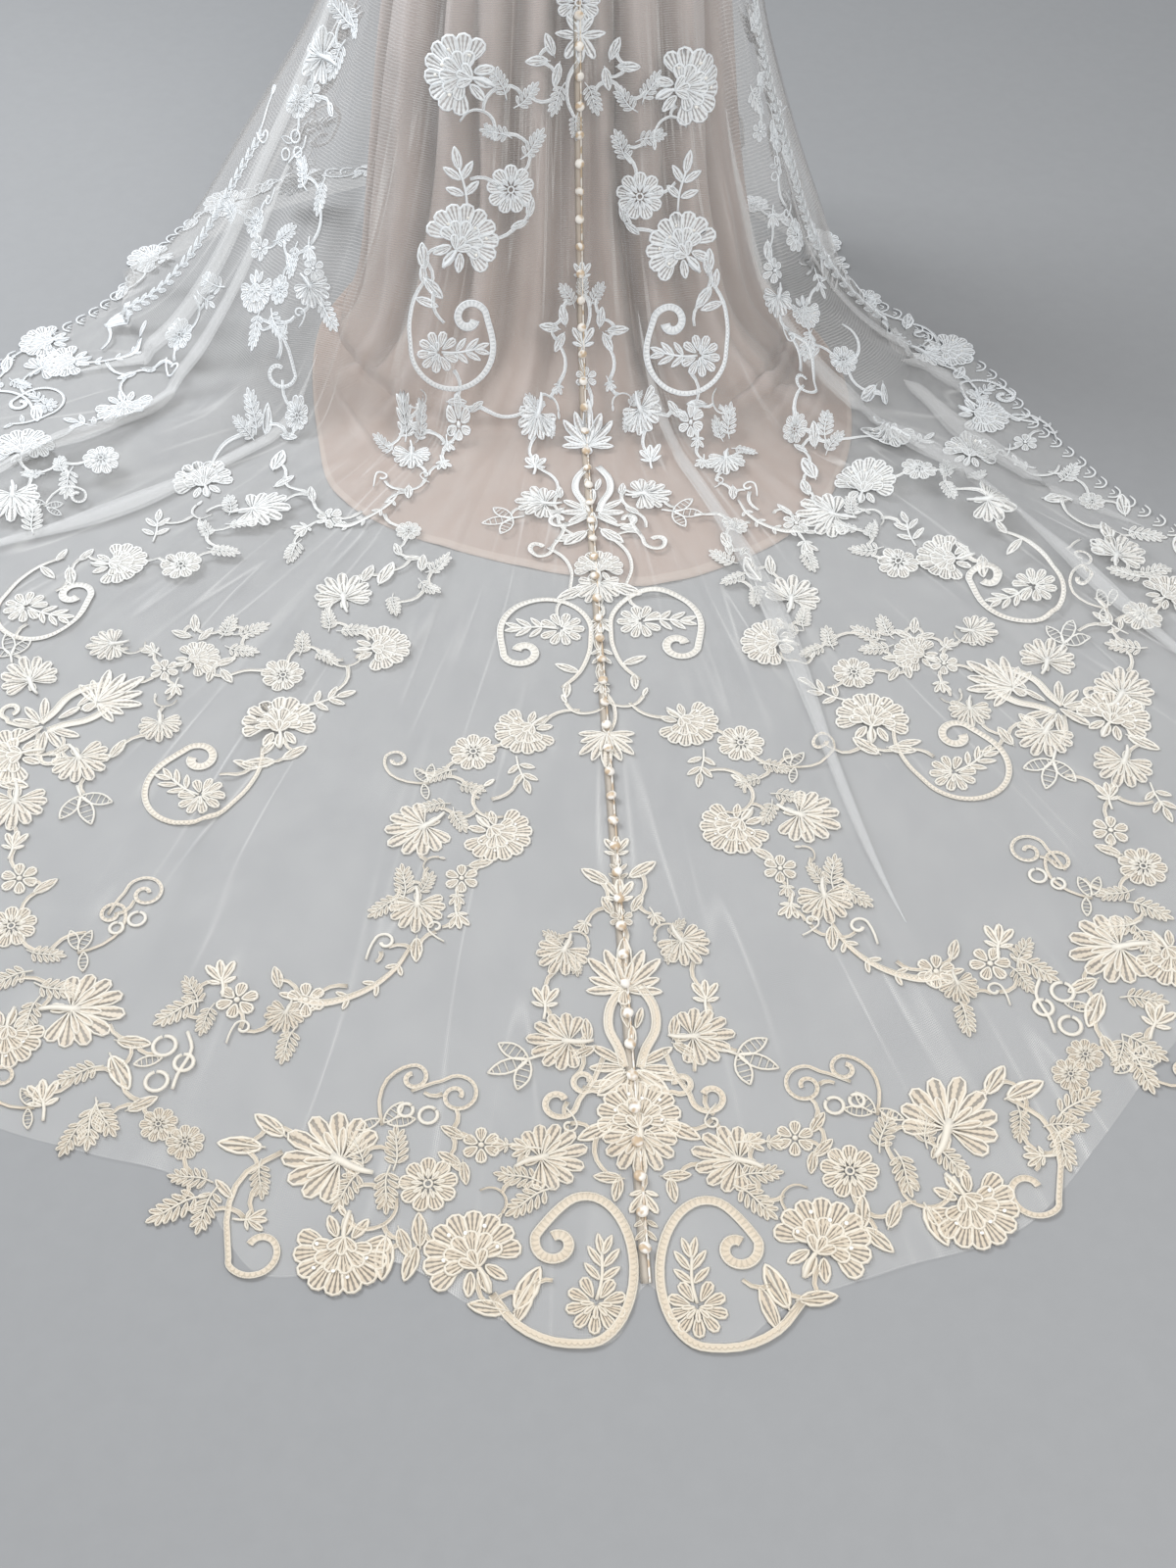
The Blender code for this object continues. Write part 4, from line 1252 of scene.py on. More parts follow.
class LaceBench:
    """Builds one lace motif flat, in metres, its tip towards +Y and its face towards +Z."""

    CORD = 0.0013         # half width of the cord round a petal
    CORD_RISE = 0.0015
    FILL_SINK = 0.0007
    GROOVE = 0.3          # share of a ribbon's half width that its sunk middle takes
    FACING, STITCHED = 0.2, 0.24      # a ribbon's fill: least upward normal, reach as a share of the width
    SEQUIN_SIZE, SEQUIN_LEAN = (0.0020, 0.0017, 0.0004), 0.35     # lower and upper radius, height
    THREAD, FILL, SEQUIN = 0, 1, 2    # material numbers

    def __init__(self) -> None:
        """Start an empty motif."""
        self.bm = bmesh.new()
        self.stitch = self.bm.loops.layers.uv.new(STITCH_UV)

    def put(self, verts: list, turn: float, at: Place, lift: float) -> None:
        """Turn new vertices clockwise, in degrees, and move them to their place."""
        spin = Matrix.Rotation(-math.radians(turn), 3, "Z")
        bmesh.ops.rotate(self.bm, verts=verts, cent=(0, 0, 0), matrix=spin)
        bmesh.ops.translate(self.bm, verts=verts, vec=(*at, lift))

    def disc(self, sides: int, low: float, high: float, depth: float) -> list[bmesh.types.BMVert]:
        """Add a closed disc by its lower and upper radius."""
        return bmesh.ops.create_cone(self.bm, cap_ends=True, segments=sides, radius1=low, radius2=high,
                                     depth=depth)["verts"]

    def petal(self, length: float, width: float, at: Place = (0.0, 0.0), turn: float = 0.0, tip: float = 0.4,
              point: float = 1.0, sides: int = 12, lift: float = 0.0) -> None:
        """Add a petal or leaf: a closed plate with a raised cord round a sunk, stitched fill.

        Args:
            length: From base to tip.
            width: Across its widest place.
            at: Place of its base.
            turn: Degrees clockwise from up.
            tip: Above 0 widens it towards the tip.
            point: Above 1 draws its ends to a point.
            sides: Sides of its outline.
            lift: Height of its underside.
        """
        verts = self.disc(sides, 1.0, 1.0, 1.0)
        top = next(face for face in faces_of(verts) if all(vert.co.z > 0.0 for vert in face.verts))
        for vert in verts:
            across, along, upper = vert.co.x, vert.co.y, vert.co.z > 0.0
            shrink, stretch = (1.0 - 2.0 * self.CORD / each if upper else 1.0 for each in (width, length))
            half = width / 2.0 * (1.0 + tip * along) / (1.0 + 0.5 * tip)
            vert.co.x = math.copysign(abs(across) ** point, across) * half * shrink
            vert.co.y = length * (along * stretch + 1.0) / 2.0
            vert.co.z = self.CORD_RISE if upper else 0.0
        bmesh.ops.inset_region(self.bm, faces=[top], thickness=self.CORD * 0.8, depth=-self.FILL_SINK)
        inner = bmesh.ops.poke(self.bm, faces=[top], offset=self.FILL_SINK * 0.5)
        everything = {vert for face in faces_of(verts) for vert in face.verts} | set(inner["verts"])
        for face in faces_of(everything):
            filled = face in inner["faces"] or len(face.verts) == sides
            face.material_index = self.FILL if filled else self.THREAD
            for loop in face.loops:
                loop[self.stitch].uv = loop.vert.co.xy
        self.put(list(everything), turn, at, lift)

    def cord(self, path: Iterable[Place], width: float = 0.003, rise: float = 0.0018, sides: int = 5,
             dip: float = 0.0, taper: tuple[float, float] = (1.0, 1.0), lift: float = 0.0,
             steps: int = 12) -> None:
        """Add a cord or ribbon along a path.

        Args:
            path: Places that it passes through.
            width: Its width.
            rise: Its height.
            sides: Sides of its section.
            dip: How far its middle sinks, as a share of rise, for a double cord.
            taper: Share of the width at its start and end.
            lift: Height of its underside.
            steps: Steps along it.
        """
        line = spline(path, steps)
        heading = unit(np.gradient(line, axis=0))
        lengths = distances(line)
        verts = add_tube(self.bm, sides, steps)
        flat: dict[bmesh.types.BMVert, tuple[float, float]] = {}
        for vert in verts:
            step = int(round((vert.co.z + 0.5) * steps))
            share = step / steps
            half = width / 2.0 * (taper[0] + (taper[1] - taper[0]) * share)
            side, top = vert.co.x, vert.co.y
            sunk = dip if abs(side) < self.GROOVE and top > 0.0 else 0.0
            flat[vert] = (side * half, lengths[step])
            vert.co = (line[step][0] - heading[step][1] * side * half,
                       line[step][1] + heading[step][0] * side * half,
                       lift + rise * (top + 1.0) / 2.0 * (1.0 - sunk))
        self.bm.normal_update()
        for face in faces_of(verts):
            middle = sum(abs(flat[vert][0]) for vert in face.verts) / len(face.verts)
            stitched = dip and face.normal.z > self.FACING and middle < self.STITCHED * width
            face.material_index = self.FILL if stitched else self.THREAD
            for loop in face.loops:
                loop[self.stitch].uv = flat[loop.vert]

    def ribbon(self, path: Iterable[Place], width: float, steps: int,
               taper: tuple[float, float] = (1.0, 1.0)) -> None:
        """Add a flat ribbon with a cord along each edge."""
        self.cord(path, width, sides=8, dip=0.6, taper=taper, steps=steps)

    def ring(self, at: Place, radius: float, width: float, rise: float, steps: int) -> None:
        """Add a ring of cord."""
        self.cord(spiral(at, (radius, radius), (0.0, 350.0)), width, rise, steps=steps)

    def bead(self, radius: float, lift: float) -> None:
        """Add a small raised knot of thread in the middle."""
        verts = self.disc(8, radius, radius * 0.55, self.CORD_RISE)
        self.put(verts, 0.0, (0.0, 0.0), lift + self.CORD_RISE / 2.0)

    def sequin(self, at: Place, lift: float) -> None:
        """Sew on one small flat sequin, a little tipped."""
        verts = self.disc(7, *self.SEQUIN_SIZE)
        for face in faces_of(verts):
            face.material_index = self.SEQUIN
        lean = Matrix.Rotation(self.SEQUIN_LEAN, 3, Vector((at[1], -at[0], 0.001)))
        bmesh.ops.rotate(self.bm, verts=verts, cent=(0, 0, 0), matrix=lean)
        self.put(verts, 0.0, at, lift)

    def ladder_leaf(self, length: float, width: float, at: Place, turn: float) -> None:
        """Add an open leaf: a cord outline with rungs across it."""
        def edge(side: float) -> list[Place]:
            """One side of the outline, from base to tip."""
            turned = math.radians(turn)
            places = []
            for share in (0.0, 0.25, 0.55, 0.8, 1.0):
                x, y = side * width / 2.0 * math.sin(math.pi * share) ** 0.8, length * share
                places.append((at[0] + x * math.cos(turned) + y * math.sin(turned),
                               at[1] - x * math.sin(turned) + y * math.cos(turned)))
            return places
        left, right = edge(-1.0), edge(1.0)
        for line in (left, right):
            self.cord(line, 0.0026, 0.0016, sides=4, steps=7)
        for near, far in zip(spline(left, 6)[1:-1], spline(right, 6)[1:-1]):
            self.cord([tuple(near), tuple(far)], 0.0018, 0.0011, sides=3, steps=1)

    def peony(self) -> None:
        """A full flower of three rows of scalloped petals."""
        for turn in (-150, 150, 180):
            self.petal(0.024, 0.012, polar(0.012, turn), turn, tip=0.0, point=1.4, sides=10)
        for turn in spread(9, 208):
            self.petal(0.0300, 0.0215, polar(0.0125, turn), turn, tip=0.6, lift=0.0006 * (abs(turn) < 80))
        for turn in spread(6, 176):
            self.petal(0.024, 0.0165, polar(0.003, turn, (0.0, -0.003)), turn, tip=0.55, lift=0.0014)
        for turn in spread(3, 84):
            self.petal(0.019, 0.0120, (0.0, -0.012), turn, tip=0.4, point=1.1, sides=10, lift=0.0024)
        self.cord([(0.0, -0.036), (0.002, -0.020), (0.0, -0.008)], 0.0042, 0.0034, steps=4)
        for turn, reach in ((-74, 0.024), (-22, 0.027), (8, 0.021), (46, 0.028), (96, 0.022)):
            self.sequin(polar(reach, turn), 0.0036)

    def fan(self) -> None:
        """A flower seen from the side: long lobes fanned out of a trumpet."""
        base = (0.0, -0.024)
        for turn in spread(9, 212):
            length = 0.058 - 0.016 * abs(turn) / 106.0
            self.petal(length, 0.0215, base, turn, tip=0.95, lift=0.0005 * (abs(turn) < 60))
        for turn in spread(5, 120):
            self.petal(0.034, 0.0110, base, turn, tip=0.6, point=1.2, sides=10, lift=0.0014)
        for turn in (-168, 168):
            self.petal(0.022, 0.0085, base, turn, tip=0.0, point=1.4, sides=8)
        self.cord([(0.004, -0.056), (0.0, -0.040), (0.0, -0.014)], 0.0075, 0.0034, taper=(0.6, 1.3), steps=5)

    def rosette(self) -> None:
        """Nine round petals about an eyelet."""
        for turn in range(0, 360, 40):
            self.petal(0.0245, 0.0195, polar(0.0060, turn), turn, tip=0.55)
        for turn in range(0, 360, 40):
            self.petal(0.0135, 0.0056, polar(0.0045, turn), turn, tip=0.2, sides=8, lift=0.0011)
        self.cord(spiral((0.0, 0.0), (0.0040, 0.0040), (0.0, 352.0)), 0.0024, 0.0018, lift=0.0011)

    def blossom(self) -> None:
        """A small flower of six petals."""
        for turn in range(0, 360, 60):
            self.petal(0.0175, 0.0145, polar(0.0032, turn), turn, tip=0.4, sides=10)
        self.bead(0.0032, lift=0.0012)
        self.bead(0.0018, lift=0.0022)

    def bud(self) -> None:
        """A half open bud with two sepals."""
        for turn in (-32, 32, 0):
            self.petal(0.023, 0.010, (0.0, -0.004), turn, tip=0.3, point=1.2, sides=10,
                       lift=0.0006 * (turn == 0))
        for turn in (-70, 70):
            self.petal(0.014, 0.006, (0.0, -0.006), turn, tip=0.0, point=1.5, sides=8)
        self.cord([(0.0, -0.020), (0.001, -0.010), (0.0, 0.0)], steps=4)

    def leaf(self) -> None:
        """One pointed leaf with its vein."""
        self.petal(0.036, 0.0150, (0.0, -0.017), tip=-0.15, point=1.4)
        self.cord([(0.0, -0.019), (0.0005, 0.0), (0.0, 0.013)], 0.0018, 0.0024, sides=4, steps=4)

    def spray(self) -> None:
        """A stem with five pointed leaves."""
        self.cord([(0.0, -0.036), (0.002, -0.015), (0.0, 0.010)], steps=6)
        self.petal(0.028, 0.011, (0.0, 0.006), 0.0, tip=-0.1, point=1.45)
        for height, turn, length in ((-0.004, 44, 0.025), (-0.021, 58, 0.023)):
            for side in (-1, 1):
                self.petal(length, 0.0098, (0.0, height), side * turn, tip=-0.1, point=1.45, sides=10)

    def feather(self) -> None:
        """A frayed leaf: open barbs down both sides of a midrib."""
        self.cord([(-0.004, -0.036), (0.002, -0.014), (0.0, 0.022)], 0.0030, 0.0024, steps=6)
        for row in range(5):
            height = -0.024 + 0.0100 * row
            length = 0.0250 - 0.0018 * abs(row - 1.6)
            for side in (-1, 1):
                self.petal(length, 0.0104, (0.001, height), side * (56 - 5 * row), tip=0.25, point=1.25,
                           sides=8)
        self.petal(0.022, 0.0105, (0.0, 0.020), 0.0, tip=0.0, point=1.3, sides=8)

    def ladder(self) -> None:
        """Three open leaves on one stalk."""
        for turn, length in ((-52, 0.036), (0, 0.043), (52, 0.036)):
            self.ladder_leaf(length, 0.0155, (0.0, -0.014), turn)
        self.cord([(0.0, -0.030), (0.0, -0.013)], 0.0034, 0.002, steps=2)

    def curl(self) -> None:
        """A ribbon that rolls up at its end, with open leaves beside it."""
        path = [(0.034, -0.036), (0.004, -0.032), (-0.020, -0.018), (-0.030, 0.002)]
        path += spiral((-0.014, 0.012), (0.017, 0.0060), (-70.0, 280.0))
        self.ribbon(path, 0.0085, steps=34, taper=(0.5, 0.8))
        self.ladder_leaf(0.034, 0.0135, (0.032, -0.034), -34.0)
        self.ladder_leaf(0.032, 0.0125, (0.034, -0.030), 8.0)
        self.ladder_leaf(0.030, 0.0115, (0.026, -0.036), 172.0)

    def hook(self) -> None:
        """A thick stem that ends in a small curl, with one leaf in its bend."""
        path = [(0.014, 0.052), (0.018, 0.024), (0.016, -0.004)]
        path += spiral((-0.002, -0.018), (0.020, 0.007), (70.0, 400.0))
        self.ribbon(path, 0.0100, steps=34, taper=(0.6, 0.85))
        self.petal(0.028, 0.0110, (0.016, 0.014), 52.0, tip=0.0, point=1.4)

    def in_ring(self, flower: Place, turn: float) -> None:
        """The small flower inside a rolled ribbon, with a leafy spray on one side of it.

        Args:
            flower: Place of the flower.
            turn: Where its spray points, clockwise from up.
        """
        for each in spread(9, 300) + turn + 180:
            self.petal(0.024, 0.0150, polar(0.006, each, flower), each, tip=0.5, sides=10)
        for each in spread(5, 180) + turn + 180:
            self.petal(0.015, 0.0070, polar(0.001, each, flower), each, tip=0.3, sides=8, lift=0.0011)
        self.cord([polar(reach, turn + bend, flower) for reach, bend in ((0.004, 0), (0.026, 8), (0.052, 2))],
                  0.0034, steps=6)
        for reach, bend, lean, length in ((0.024, 6, -46, 0.024), (0.024, 6, 50, 0.024),
                                          (0.037, 6, -38, 0.027), (0.037, 6, 36, 0.026),
                                          (0.048, 3, -14, 0.025), (0.049, 3, 20, 0.024)):
            place = polar(reach, turn + bend, flower)
            self.petal(length, 0.0092, place, turn + lean, tip=-0.1, point=1.5, sides=10)

    def scroll(self) -> None:
        """A ribbon rolled into a ring round a flower and a leaf spray."""
        path = [(0.010, -0.098), (0.034, -0.075), (0.049, -0.044)]
        path += [(0.057 * math.sin(math.radians(turn)), 0.060 * math.cos(math.radians(turn)))
                 for turn in range(108, -90, -24)]
        path += spiral((-0.032, -0.030), (0.024, 0.0075), (-82.0, -430.0))
        self.ribbon(path, 0.0135, steps=76, taper=(0.38, 1.0))
        self.in_ring((0.020, 0.004), -84.0)
        self.petal(0.034, 0.0125, (0.034, -0.074), -58.0, tip=-0.1, point=1.5)
        self.petal(0.028, 0.0110, (0.018, -0.088), 190.0, tip=-0.1, point=1.4)

    def hoop(self) -> None:
        """The same ribbon at the foot of the train: a tall ring that stands on its tail."""
        path = [(-0.094, -0.026), (-0.072, -0.054), (-0.040, -0.071)]
        path += [(0.046 * math.sin(math.radians(turn)) - 0.006, 0.074 * math.cos(math.radians(turn)))
                 for turn in range(178, -60, -24)]
        path += spiral((-0.034, 0.026), (0.021, 0.0070), (-62.0, -395.0))
        self.ribbon(path, 0.0130, steps=76, taper=(0.7, 0.9))
        self.in_ring((0.004, -0.036), 4.0)
        self.petal(0.048, 0.0150, (-0.072, -0.056), 22.0, tip=-0.1, point=1.5)

    def lotus(self) -> None:
        """A tall flower of long pointed petals, drawn alike on both sides."""
        base = (0.0, -0.030)
        for turn in (-92, 92, -68, 68):
            self.petal(0.040, 0.0135, base, turn, tip=0.15, point=1.3)
        for turn in (-44, 44, -22, 22):
            self.petal(0.055, 0.0165, base, turn, tip=0.2, point=1.3, lift=0.0006)
        self.petal(0.066, 0.0190, base, 0.0, tip=0.1, point=1.3, lift=0.0014)
        for turn in (-14, 14):
            self.petal(0.036, 0.010, base, turn, tip=0.2, point=1.3, sides=10, lift=0.0026)
        self.petal(0.020, 0.016, (0.0, -0.030), 180.0, tip=0.3, point=1.1, lift=0.001)

    def vase(self) -> None:
        """Two ribbons that bow out and in below a lotus, with leaves and curls at their foot."""
        for side in (-1, 1):
            self.ribbon([(side * 0.008, 0.078), (side * 0.024, 0.050), (side * 0.026, 0.020),
                         (side * 0.014, -0.008), (side * 0.009, -0.030)], 0.0115, steps=20)
            for length, width, x, y, turn in ((0.044, 0.0150, 0.008, -0.026, 58),
                                              (0.040, 0.0140, 0.008, -0.030, 92),
                                              (0.038, 0.0140, 0.007, -0.032, 128)):
                self.petal(length, width, (side * x, y), side * turn, tip=0.1, point=1.35)
            self.petal(0.030, 0.0110, (side * 0.004, 0.020), side * 14, tip=0.1, point=1.3, sides=10)
            self.ribbon([(side * 0.006, -0.040), (side * 0.034, -0.060)]
                        + spiral((side * 0.052, -0.048), (0.014, 0.006), (side * 215.0, side * -110.0)),
                        0.0095, steps=26, taper=(0.7, 0.8))
        self.petal(0.046, 0.0160, (0.0, -0.030), 180.0, tip=0.2, point=1.3, lift=0.001)
        self.petal(0.034, 0.0120, (0.0, -0.010), 0.0, tip=0.2, point=1.3, lift=0.001)

    def bell(self) -> None:
        """A hanging bell with its leaves."""
        for turn in (-150, 150, 180):
            self.petal(0.036, 0.0145, (0.0, 0.012), turn, tip=0.35, point=1.15, lift=0.001 * (turn == 180))
        for side in (-1, 1):
            self.petal(0.032, 0.011, (0.0, 0.008), side * 82, tip=-0.1, point=1.45)
            self.petal(0.026, 0.010, (0.0, 0.012), side * 40, tip=-0.1, point=1.45, lift=0.0006)
        self.petal(0.026, 0.010, (0.0, 0.010), 0.0, tip=-0.1, point=1.45, lift=0.001)

    def acanthus(self) -> None:
        """A long curved leaf with lobes along its outer edge."""
        path = [(0.052, 0.050), (0.030, 0.012), (-0.004, -0.016), (-0.048, -0.030), (-0.080, -0.022)]
        self.ribbon(path, 0.0125, steps=20, taper=(0.35, 1.0))
        line = spline(path, 10)
        for step in range(2, 10, 2):
            heading = line[min(step + 1, 10)] - line[step - 1]
            turn = math.degrees(math.atan2(heading[0], heading[1]))
            for side in (-1, 1):
                self.petal(0.020 - 0.001 * abs(step - 5), 0.0082, tuple(line[step]), turn + side * 46,
                           tip=0.1, point=1.25, sides=10)
        self.petal(0.026, 0.0105, tuple(line[-1]), -70.0, tip=0.1, point=1.3)

    def scallop(self) -> None:
        """One scallop of the hem's edging, with a small loop inside it."""
        self.cord([(-0.013, -0.006), (-0.008, 0.003), (0.0, 0.006), (0.008, 0.003), (0.013, -0.006)], 0.003,
                  steps=8)
        self.cord([(-0.005, -0.007), (0.0, -0.001), (0.005, -0.007)], 0.0022, 0.0014, sides=4, steps=5)

    def crescent(self) -> None:
        """An arched stem with a leaf at one end."""
        path = [polar(0.024, turn, (0.0, -0.014)) for turn in (-82, -50, -18, 18, 50, 82)]
        self.ribbon(path, 0.0056, steps=16, taper=(0.5, 0.9))
        self.petal(0.016, 0.0070, (0.023, -0.010), 168.0, tip=0.0, point=1.4, sides=10)

    def curve(self) -> None:
        """A short stem rolled up at its end."""
        path = [(0.010, 0.022), (0.013, 0.006)] + spiral((0.001, -0.006), (0.012, 0.004), (80.0, 420.0))
        self.cord(path, 0.0048, 0.0024, sides=6, steps=22, taper=(0.6, 1.0))

    def tendril(self) -> None:
        """A stem wound into a spiral, with two rings beside it."""
        path = [(-0.030, -0.036), (-0.026, -0.014)]
        path += spiral((0.0, 0.0), (0.023, 0.005), (-100.0, 430.0))
        self.ribbon(path, 0.0066, steps=40, taper=(0.6, 0.8))
        for place, radius in (((0.004, -0.036), 0.0095), ((-0.014, -0.052), 0.0075)):
            self.ring(place, radius, 0.0042, 0.0020, 14)

    def crook(self) -> None:
        """A tall stem bent round at its foot like a shepherd's crook."""
        path = [(0.016, 0.100), (-0.020, 0.076), (-0.032, 0.038), (-0.026, -0.008)]
        path += spiral((0.0, -0.002), (0.030, 0.008), (235.0, -60.0))
        self.ribbon(path, 0.0100, steps=40, taper=(0.6, 0.8))
        self.petal(0.030, 0.0110, (-0.028, 0.050), -42.0, tip=0.0, point=1.4)

    def loops(self) -> None:
        """Openwork: rings and an open leaf linked by a stem."""
        for place, radius in (((-0.004, 0.020), 0.0120), ((0.016, -0.004), 0.0100),
                              ((-0.012, -0.022), 0.0115)):
            self.ring(place, radius, 0.0048, 0.0022, 16)
        self.ladder_leaf(0.030, 0.0120, (-0.006, 0.006), -96.0)
        path = [(0.020, 0.034), (0.024, 0.010), (0.010, -0.016), (0.004, -0.034)]
        self.cord(path, 0.0042, 0.0022, steps=10)

    def finish(self, name: str, mirrored: bool) -> bpy.types.Mesh:
        """Close the motif's mesh.

        Args:
            name: The mesh's name.
            mirrored: Whether left and right are exchanged.

        Returns:
            The flat mesh.
        """
        if mirrored:
            bmesh.ops.scale(self.bm, verts=self.bm.verts, vec=(-1.0, 1.0, 1.0))
            bmesh.ops.reverse_faces(self.bm, faces=self.bm.faces)
        return close_mesh(self.bm, name)


class PatternBook:
    """Keeps one flat mesh of each motif, and of its mirror image."""

    def __init__(self) -> None:
        """Start with no patterns."""
        self.patterns: dict[tuple[Motif, bool], bpy.types.Mesh] = {}

    def pattern(self, motif: Motif, mirrored: bool) -> bpy.types.Mesh:
        """The flat mesh of a motif, made when it is first asked for."""
        key = (motif, mirrored)
        if key not in self.patterns:
            bench = LaceBench()
            getattr(bench, motif.value)()
            self.patterns[key] = bench.finish("pattern_%s_%d" % (motif.value, mirrored), mirrored)
        return self.patterns[key]

    def clear(self) -> None:
        """Drop the flat meshes."""
        for mesh in self.patterns.values():
            bpy.data.meshes.remove(mesh)
        self.patterns.clear()


# ---------------------------------------------------------------- where the lace lies
M = Motif
# Motifs on centre back: kind, place in the frame, turn clockwise from up, size
CENTRE_LACE = (
    (M.ROSETTE, (590, 2), 0, 0.95), (M.BELL, (592, 44), 0, 1.05), (M.BUD, (590, 22), 0, 0.8),
    (M.FEATHER, (588, 128), 180, 0.5), (M.BUD, (594, 279), 0, 0.95), (M.FEATHER, (594, 292), 0, 0.5),
    (M.BUD, (595, 348), 0, 1.25), (M.BLOSSOM, (598, 386), 0, 0.80), (M.LOTUS, (600, 438), 0, 0.95),
    (M.VASE, (605, 510), 0, 0.92), (M.PEONY, (611, 580), 0, 0.80), (M.FAN, (611, 606), 180, 0.68),
    (M.BUD, (613, 636), 180, 1.10), (M.SPRAY, (614, 672), 180, 0.75), (M.LOTUS, (619, 766), 180, 0.88),
    (M.BUD, (614, 700), 180, 0.80), (M.BUD, (629, 868), 0, 1.15), (M.SPRAY, (631, 888), 0, 0.60),
    (M.BUD, (632, 914), 0, 1.30), (M.BLOSSOM, (634, 938), 0, 0.70), (M.LOTUS, (637, 986), 0, 1.05),
    (M.VASE, (645, 1066), 0, 0.95), (M.PEONY, (652, 1142), 0, 1.05), (M.FAN, (653, 1176), 180, 0.85),
    (M.BUD, (657, 1222), 180, 1.15), (M.SPRAY, (659, 1258), 180, 0.62),
)
